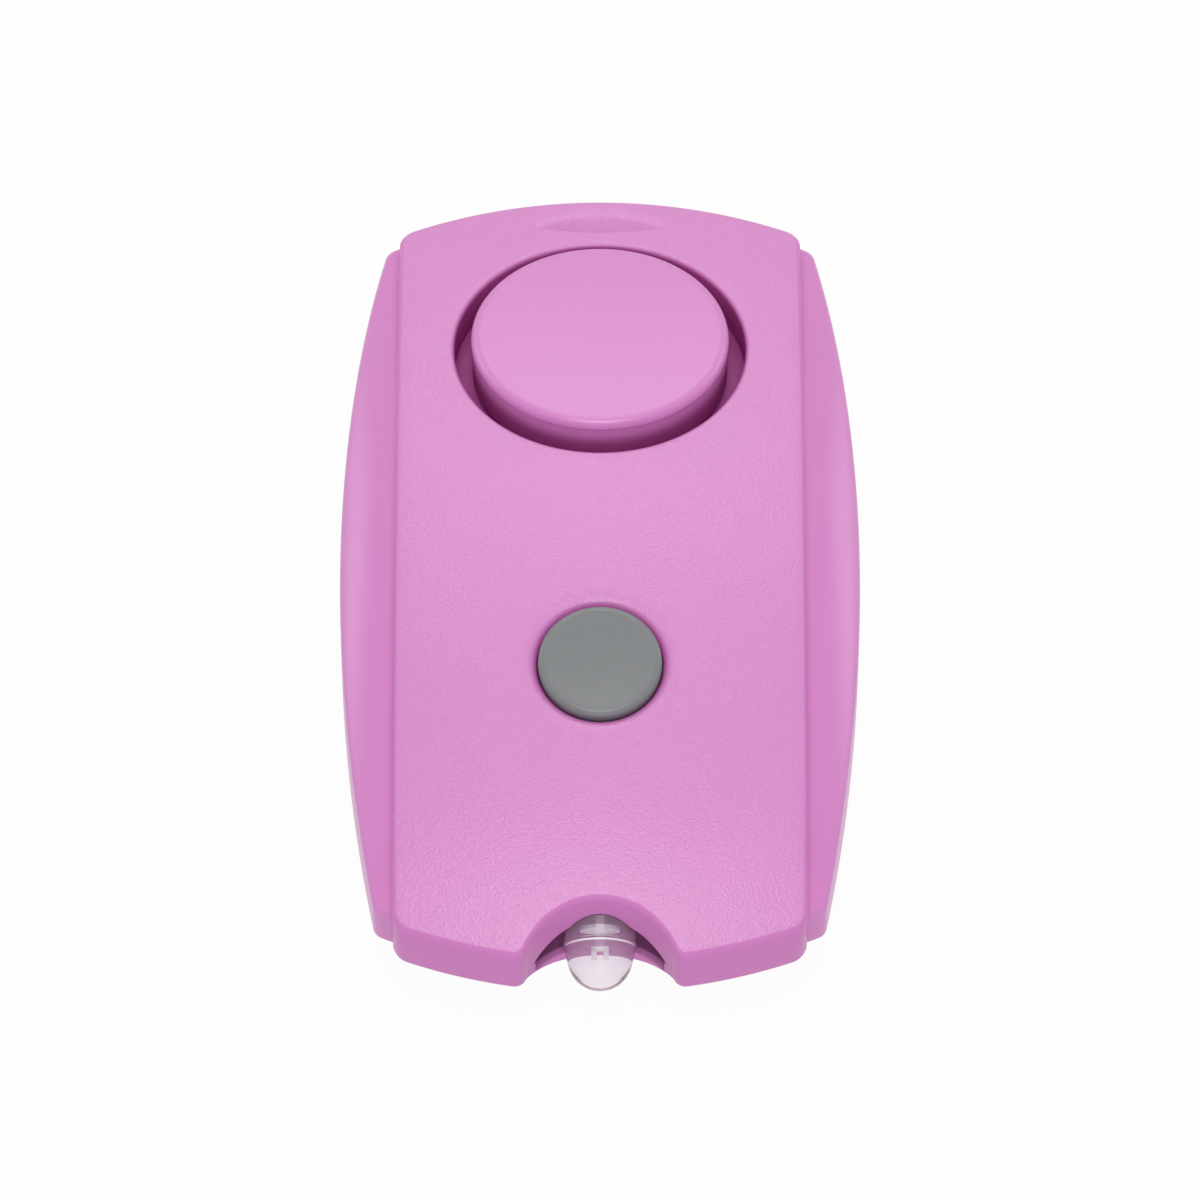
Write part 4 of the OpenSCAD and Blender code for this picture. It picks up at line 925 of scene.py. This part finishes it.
class ALARM_OT_wings(bpy.types.Operator):
    """Models the two lower wings beside the front panel"""

    bl_idname = "alarm.wings"
    bl_label = "Wings"

    def execute(self, context):
        case = context.scene.alarm_case
        start = case.panel_width / 2 - case.shoulder_tuck
        ball = case.crown_radius - case.shoulder_drop

        def shoulder(x, y):
            out = max(abs(x) - start, 0.0)
            fall = case.shoulder_radius - math.sqrt(case.shoulder_radius**2 - out * out)
            return crown_centre(case) + math.sqrt((ball - fall) ** 2 - y * y)

        for side in (1, -1):
            bm = bmesh.new()
            edge = rounding(case.wing_edge, WING_EDGE_STEPS)
            wall = wing_outline(bm, case).draw_in(edge[0][0], shoulder)
            cover_plan(bm, [wall.edges], shoulder, WING_MESH)
            for inset, drop in edge[1:]:
                wall = wall.extrude().draw_in(inset, lambda x, y: shoulder(x, y) - drop)
            wall.extrude().draw_in(0.0, lambda x, y: case.seam - case.skirt).cap()
            bmesh.ops.scale(bm, vec=(side, 1, 1), verts=bm.verts[:])
            face_outward(bm)
            name = "right_wing" if side > 0 else "left_wing"
            piece = as_piece(bm, name, "alarm_satin_pink", "case")
            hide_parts("front_cover")
        return {"FINISHED"}


class ALARM_OT_rear_case(bpy.types.Operator):
    """Models the rear case with its bevelled ends, rounded sides, door opening and screw holes"""

    bl_idname = "alarm.rear_case"
    bl_label = "Rear Case"

    # Gap under the skirt, steps of a quarter of the side rounding, and those of them that are used
    SKIRT_GAP = 0.00002
    SIDE_STEPS, SIDE_USED = 14, 12
    # Heights past the bevel, its outer radius, and the inner radius of the lugs' entries
    BEVEL_OVER, BEVEL_UNDER, BEVEL_REACH = 0.0005, 0.001, 0.06
    LUG_START, LUGS = 0.006, 3
    # Sweeps and widths of the hollow behind the notch and of the cut over its lip
    HOLLOW_SWEEP, LIP_SWEEP = math.radians(104), math.radians(100)
    HOLLOW_WIDTH, LIP_BEFORE, LIP_AFTER = 0.005, 0.001, 0.0002
    DOOR_STEPS, BEVEL_STEPS, SCREW_STEPS = 160, 256, 48
    SHARP = math.radians(20)

    def outer_body(self, case, rear, step):
        """The closed outside of the rear case, rounded along its sides."""
        radius = rear.side_rounding
        ring = rear_outline(bmesh.new(), case, rear).draw_in(rear.tongue, lambda x, y: case.seam)
        ring.cap()
        ring = ring.extrude().draw_in(rear.tongue, lambda x, y: step)
        ring = ring.extrude().draw_in(rear.shadow_gap, lambda x, y: step)
        for i in range(self.SIDE_USED, -1, -1):
            slope = QUARTER * i / self.SIDE_STEPS
            tuck, height = radius * (1 - math.sin(slope)), radius * (1 - math.cos(slope))
            ring = ring.extrude()
            for vert, (point, way) in ring.marks.items():
                place = point - way * rear.shadow_gap
                vert.co = (place.x - way.x * tuck, place.y, height)
        ring.cap()
        bmesh.ops.triangulate(ring.bm, faces=ring.bm.faces[:])
        face_outward(ring.bm)
        return ring.bm

    def bevel(self, case, rear, y):
        """A ring that bevels the end that curves about a point on the middle line."""
        top = case.seam - rear.rim
        edge, slope = case.end_radius - rear.shadow_gap, math.tan(rear.end_bevel)
        heights = (top + self.BEVEL_OVER, -self.BEVEL_UNDER)
        high, low = ((edge - (top - z) / slope, z) for z in heights)
        profile = [high, low, (self.BEVEL_REACH, low[1]), (self.BEVEL_REACH, high[1]), high]
        return turned(profile, Matrix.Translation((0, y, 0)), self.BEVEL_STEPS)

    def execute(self, context):
        case, rear, lamp = context.scene.alarm_case, context.scene.alarm_rear, context.scene.alarm_lamp
        step = case.seam - case.skirt - self.SKIRT_GAP
        notch_y = -case.panel_length / 2 + case.notch_depth - case.notch_radius
        middle_y = case.end_radius - case.panel_length / 2
        notch, over_seam, over_wall = case.notch_radius + rear.notch_gap, case.seam + OVER, rear.wall + OVER
        notch_at = Matrix.Translation((0, notch_y, 0))
        door_at = Matrix.Translation((0, rear.door_place, 0))
        cutters = [
            self.bevel(case, rear, middle_y),
            self.bevel(case, rear, -middle_y),
            rod(notch_at, notch, -OVER, over_seam, self.DOOR_STEPS),
            rod(door_at, rear.door_hole, -OVER, over_wall, self.DOOR_STEPS),
            rod(door_at, rear.lug_room, rear.wall, over_seam, self.DOOR_STEPS),
            rod(at_lamp(case, lamp), lamp_bore(lamp), -lamp.barrel, LENS_OVER, BORE_STEPS),
        ]
        for i in range(self.LUGS):
            start = 2 * math.pi * i / self.LUGS + rear.lug_turn - rear.lug_angle / 2
            radii, heights = (self.LUG_START, rear.lug_room), (-OVER, over_wall)
            cutters.append(sector(rear.door_place, radii, heights, start, rear.lug_angle))
        lip = notch + rear.lip
        over_lip = (case.notch_radius - self.LIP_BEFORE, lip + self.LIP_AFTER)
        for sweep, radii, floor in (
            (self.HOLLOW_SWEEP, (lip, lip + self.HOLLOW_WIDTH), rear.hollow),
            (self.LIP_SWEEP, over_lip, step - rear.lip_drop),
        ):
            cutters.append(sector(notch_y, radii, (floor, over_seam), (math.pi - sweep) / 2, sweep))
        for x in (rear.screw_place, -rear.screw_place):
            for y in (rear.screw_back, rear.screw_front):
                screw_at = Matrix.Translation((x, y, 0))
                cutters.append(rod(screw_at, rear.screw_hole, -OVER, rear.screw_depth, self.SCREW_STEPS))
        bm = carve(self.outer_body(case, rear, step), cutters)
        piece = as_piece(bm, "rear_case", "alarm_back_pink", "case", self.SHARP)
        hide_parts("rear_shell")
        return {"FINISHED"}


class ALARM_OT_siren_cap(bpy.types.Operator):
    """Models the round siren cap with its rounded edge"""

    bl_idname = "alarm.siren_cap"
    bl_label = "Siren Cap"

    def execute(self, context):
        case, siren = context.scene.alarm_case, context.scene.alarm_siren
        radius, dome = siren.cap_radius, siren.cap_dome
        pivot = Matrix.Translation((0, -radius, 0))
        lean = pivot @ Matrix.Rotation(-siren.cap_lean, 4, "X") @ pivot.inverted()
        place = siren_frame(case, siren) @ lean
        edge_drop = dome - math.sqrt(dome * dome - radius * radius)

        def top(r):
            return siren.cap_proud + edge_drop - dome + math.sqrt(dome * dome - r * r)

        under = siren.cap_gap - siren.recess_depth
        profile = [(radius * i / 16, top(radius * i / 16)) for i in range(17)]
        profile += [
            (radius, siren.cap_lip),
            (siren.neck_radius, siren.cap_lip),
            (siren.neck_radius, under),
            (0, under),
        ]
        bm = turned(profile, place, ROUND_STEPS)
        round_ring(bm, place, radius, top(radius), siren.cap_edge, CAP_EDGE_STEPS)
        piece = as_piece(bm, "siren_cap_disc", "alarm_cap_pink", "case")
        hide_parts("siren_cap")
        return {"FINISHED"}


class ALARM_OT_press_button(bpy.types.Operator):
    """Models the grey press button with its dished top and its flange"""

    bl_idname = "alarm.press_button"
    bl_label = "Press Button"

    def execute(self, context):
        case, button = context.scene.alarm_case, context.scene.alarm_button
        place = button_frame(case, button)
        radius, lip = button.radius, button.radius - button.edge
        ball = (lip * lip + button.dish**2) / (2 * button.dish)
        middle = button.proud - button.dish + ball
        spots = [lip * i / 10 for i in range(11)]
        profile = [(r, middle - math.sqrt(ball * ball - r * r)) for r in spots]
        profile += [
            (radius, button.proud),
            (radius, -button.flange_top),
            (button.flange_radius, -button.flange_top),
            (button.flange_radius, -button.under),
            (0, -button.under),
        ]
        bm = turned(profile, place, BUTTON_STEPS)
        round_ring(bm, place, radius, button.proud, button.edge * 0.98, BUTTON_EDGE_STEPS)
        piece = as_piece(bm, "grey_button", "alarm_button_grey", "press_button")
        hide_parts("press_button")
        return {"FINISHED"}


class ALARM_OT_lamp(bpy.types.Operator):
    """Models the clear lamp and its lead frame"""

    bl_idname = "alarm.lamp"
    bl_label = "Lamp"

    # Thickness of the cup's wall, and the teeth's width as a share of the fork's
    CUP_RIM, TOOTH = 0.00013, 0.3
    TIP_STEPS, FLANK_STEPS, BEAD_STEPS = 14, 8, 10

    def lens_profile(self, lamp):
        """Points of the lens from its tip over the flank and the bead to its flange."""
        flank, tip, bead = lamp.flank_radius, lamp.tip_radius, lamp.step
        flank_at = Vector((lamp.radius - flank, 0))
        tip_at = Vector((0, lamp.dome - tip))
        span = tip_at - flank_at
        along = (flank * flank - tip * tip + span.length_squared) / (2 * span.length)
        across = math.sqrt(flank * flank - along * along)
        way = span.normalized()
        join = flank_at + way * along + Vector((way.y, -way.x)) * across
        tip_turn = math.atan2(join.y - tip_at.y, join.x) - QUARTER
        flank_turn = math.atan2(join.y, join.x - flank_at.x)
        profile = [(0, lamp.dome)]
        for i in range(1, self.TIP_STEPS + 1):
            a = QUARTER + tip_turn * i / self.TIP_STEPS
            profile.append((tip * math.cos(a), tip_at.y + tip * math.sin(a)))
        for i in range(1, self.FLANK_STEPS + 1):
            a = flank_turn * (1 - i / self.FLANK_STEPS)
            profile.append((flank_at.x + flank * math.cos(a), flank * math.sin(a)))
        for i in range(1, self.BEAD_STEPS):
            a = math.pi * i / self.BEAD_STEPS
            profile.append((lamp.radius + bead * math.sin(a), bead * (math.cos(a) - 1)))
        return profile + [
            (lamp.radius, -2 * bead),
            (lamp.radius, -lamp.barrel + lamp.flange),
            (lamp.flange_radius, -lamp.barrel + lamp.flange),
            (lamp.flange_radius, -lamp.barrel),
            (0, -lamp.barrel),
        ]

    def execute(self, context):
        case, lamp = context.scene.alarm_case, context.scene.alarm_lamp
        place = at_lamp(case, lamp)
        bm = turned(self.lens_profile(lamp), place, BUTTON_STEPS)
        piece = as_piece(bm, "lamp_lens", "alarm_clear_resin", "case")
        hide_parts("torch_lens")

        cup, rim, front = lamp.cup_radius, self.CUP_RIM, lamp.cup_place
        profile = [(0, front - 2 * rim), (cup, front - 2 * rim), (cup, front), (cup - rim, front)]
        profile += [(cup - rim, front - rim), (0, front - rim)]
        bm = turned(profile, place, BORE_STEPS)
        low, high = (Vector(p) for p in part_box("torch_leads"))
        wire, fork = lamp.wire, lamp.fork_width
        thin, tooth = wire / 3, fork * self.TOOTH
        back = place.inverted() @ Vector((0, high.y - wire / 2, 0))
        bend = place @ Vector((0, 0, back.z))
        bars = []
        for side in (1, -1):
            x, tooth_x = side * lamp.lead_pitch / 2, side * (fork - tooth) / 2
            drop = Matrix.Translation((x, high.y - wire / 2, (low.z + bend.z) / 2))
            bars += [
                (place, (x, 0, (back.z + lamp.lead_end) / 2), (wire, wire, lamp.lead_end - back.z)),
                (drop, (0, 0, 0), (wire, wire, bend.z - low.z)),
                (place, (tooth_x, 0, lamp.fork_place + tooth), (tooth, thin, 3 * tooth)),
            ]
        bars.append((place, (0, 0, lamp.fork_place), (fork, thin, tooth)))
        for bar_at, middle, size in bars:
            matrix = bar_at @ Matrix.Translation(middle) @ Matrix.Diagonal((*size, 1))
            verts = bmesh.ops.create_cube(bm, size=1, matrix=matrix)["verts"]
            faces = list({f for v in verts for f in v.link_faces})
            bmesh.ops.recalc_face_normals(bm, faces=faces)
        piece = as_piece(bm, "lamp_leads", "alarm_tinned_lead", "case")
        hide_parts("torch_leads")
        return {"FINISHED"}


class ALARM_OT_packed_parts(bpy.types.Operator):
    """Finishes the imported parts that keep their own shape"""

    bl_idname = "alarm.packed_parts"
    bl_label = "Packed Parts"

    FINISH = {
        "alarm_back_pink": "battery_door",
        "alarm_black_rubber": "sounder_gasket",
        "alarm_brass": "sounder_plate contact_negative contact_positive pin_leaf_1 pin_leaf_2",
        "alarm_ceramic": "sounder_ceramic",
        "alarm_white_plastic": "sounder_holder switch_plunger",
        "alarm_black_plastic": "sounder_wires switch_body coil_core driver_chip transistor"
        " resistor_1 resistor_2 resistor_3 pin_wires",
        "alarm_board_green": "circuit_board",
        "alarm_steel": "coin_cell_1 coin_cell_2 capacitor"
        " case_screw_1 case_screw_2 case_screw_3 case_screw_4",
        "alarm_copper": "coil_winding",
    }

    def execute(self, context):
        for name, nodes in self.FINISH.items():
            for node in nodes.split():
                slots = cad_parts[node].data.materials
                slots.clear()
                slots.append(finishes()[name])
        return {"FINISHED"}


class ALARM_OT_stage(bpy.types.Operator):
    """Sets the pale floor, the soft lights and the camera"""

    bl_idname = "alarm.stage"
    bl_label = "Stage"

    # Place, size and power setting of each light
    LIGHTS = {
        "key_light": ((0, -0.17, 0.57), 0.3, "key_power"),
        "back_light": ((0, 0.45, 0.5), 0.4, "back_power"),
        "front_light": ((0, -0.6, 0.22), 0.3, "front_power"),
        "left_light": ((-0.5, 0.32, 0.16), 0.25, "side_power"),
        "right_light": ((0.5, 0.32, 0.16), 0.25, "side_power"),
    }
    # Half width of the floor, its gap under the case, its glow's share and its cloth's colour
    FLOOR_SIZE, FLOOR_GAP, FLOOR_GLOW, FLOOR_CLOTH = 3.0, 0.00005, 0.96, (0.86, 0.86, 0.86, 1)
    SENSOR_WIDTH, CLIP_START = 36.0, 0.01

    def seen_rays(self, tree):
        """One for rays from the camera, a reflection or through glass, and nought for the rest."""
        rays = add_node(tree, "LightPath", {}).outputs
        total = rays["Is Camera Ray"]
        for kind in ("Is Glossy Ray", "Is Transmission Ray"):
            total = worked(tree, "MAXIMUM", total, rays[kind])
        return total

    def floor_finish(self):
        """White to the camera and in reflections, with a faint shadow, and clear from below."""
        material = bpy.data.materials.new("stage_floor")
        material.use_nodes = True
        tree = material.node_tree
        tree.nodes.clear()

        def shader(kind, inputs):
            return add_node(tree, kind, inputs).outputs[0]

        share = worked(tree, "MULTIPLY", self.seen_rays(tree), self.FLOOR_GLOW)
        cloth = shader("BsdfDiffuse", {"Color": self.FLOOR_CLOTH})
        glow = shader("Emission", {"Color": WHITE, "Strength": 1.0})
        lit = shader("MixShader", {"Fac": share, 1: cloth, 2: glow})
        below = add_node(tree, "NewGeometry", {}).outputs["Backfacing"]
        faced = shader("MixShader", {"Fac": below, 1: lit, 2: shader("BsdfTransparent", {})})
        add_node(tree, "OutputMaterial", {"Surface": faced})
        return material

    def area_light(self, name, place, size, power):
        """A square soft light that looks at the middle of the back."""
        data = bpy.data.lights.new(name, "AREA")
        data.shape = "SQUARE"
        data.size = size
        data.energy = power
        light = bpy.data.objects.new(name, data)
        light.location = place
        light.rotation_euler = (-Vector(place)).to_track_quat("-Z", "Y").to_euler()
        bpy.context.scene.collection.objects.link(light)

    def execute(self, context):
        scene = context.scene
        case, stage = scene.alarm_case, scene.alarm_stage
        bm = bmesh.new()
        bmesh.ops.create_grid(bm, x_segments=2, y_segments=2, size=self.FLOOR_SIZE)
        mesh = bpy.data.meshes.new("studio_floor")
        bm.to_mesh(mesh)
        bm.free()
        mesh.materials.append(self.floor_finish())
        floor = bpy.data.objects.new("studio_floor", mesh)
        floor.location.z = -self.FLOOR_GAP
        scene.collection.objects.link(floor)

        world = bpy.data.worlds.new("studio")
        world.use_nodes = True
        tree = world.node_tree
        level = spread(tree, self.seen_rays(tree), 0, 1, stage.sky, 1)
        feed(tree, tree.nodes["Background"], {"Strength": level, "Color": WHITE})
        scene.world = world

        for name, (place, size, power) in self.LIGHTS.items():
            self.area_light(name, place, size, getattr(stage, power))

        top = Vector((0, 0, case.crown_top))
        back_way = Vector((0, -math.cos(stage.elevation), math.sin(stage.elevation)))
        data = bpy.data.cameras.new("photo_camera")
        data.sensor_width = self.SENSOR_WIDTH
        data.lens = stage.lens
        data.clip_start = self.CLIP_START
        camera = bpy.data.objects.new("photo_camera", data)
        camera.location = top + back_way * stage.distance
        camera.rotation_euler = (math.pi / 2 - stage.elevation - stage.pitch, 0, 0)
        scene.collection.objects.link(camera)
        scene.camera = camera
        scene.view_settings.view_transform = "Standard"
        return {"FINISHED"}


class ALARM_PT_sidebar(bpy.types.Panel):
    """Lists the steps that build the alarm"""

    bl_idname = "ALARM_PT_sidebar"
    bl_label = "Personal Safety Alarm"
    bl_space_type = "VIEW_3D"
    bl_region_type = "UI"
    bl_category = "Alarm"

    def draw(self, context):
        for step in STEPS:
            self.layout.operator(step.bl_idname)


STEPS = (
    ALARM_OT_stage,
    ALARM_OT_front_panel,
    ALARM_OT_wings,
    ALARM_OT_rear_case,
    ALARM_OT_siren_cap,
    ALARM_OT_press_button,
    ALARM_OT_lamp,
    ALARM_OT_packed_parts,
)
GROUPS = {
    "alarm_case": CaseSizes,
    "alarm_rear": RearSizes,
    "alarm_siren": SirenSizes,
    "alarm_button": ButtonSizes,
    "alarm_lamp": LampSizes,
    "alarm_finish": FinishValues,
    "alarm_stage": StageValues,
}
CLASSES = (*GROUPS.values(), *STEPS, ALARM_PT_sidebar)


def register():
    for cls in CLASSES:
        bpy.utils.register_class(cls)
    for name, group in GROUPS.items():
        setattr(bpy.types.Scene, name, bpy.props.PointerProperty(type=group))


def unregister():
    for name in GROUPS:
        delattr(bpy.types.Scene, name)
    for cls in reversed(CLASSES):
        bpy.utils.unregister_class(cls)


def main():
    register()
    for step in STEPS:
        family, name = step.bl_idname.split(".")
        getattr(getattr(bpy.ops, family), name)()


if __name__ == "__main__":
    main()
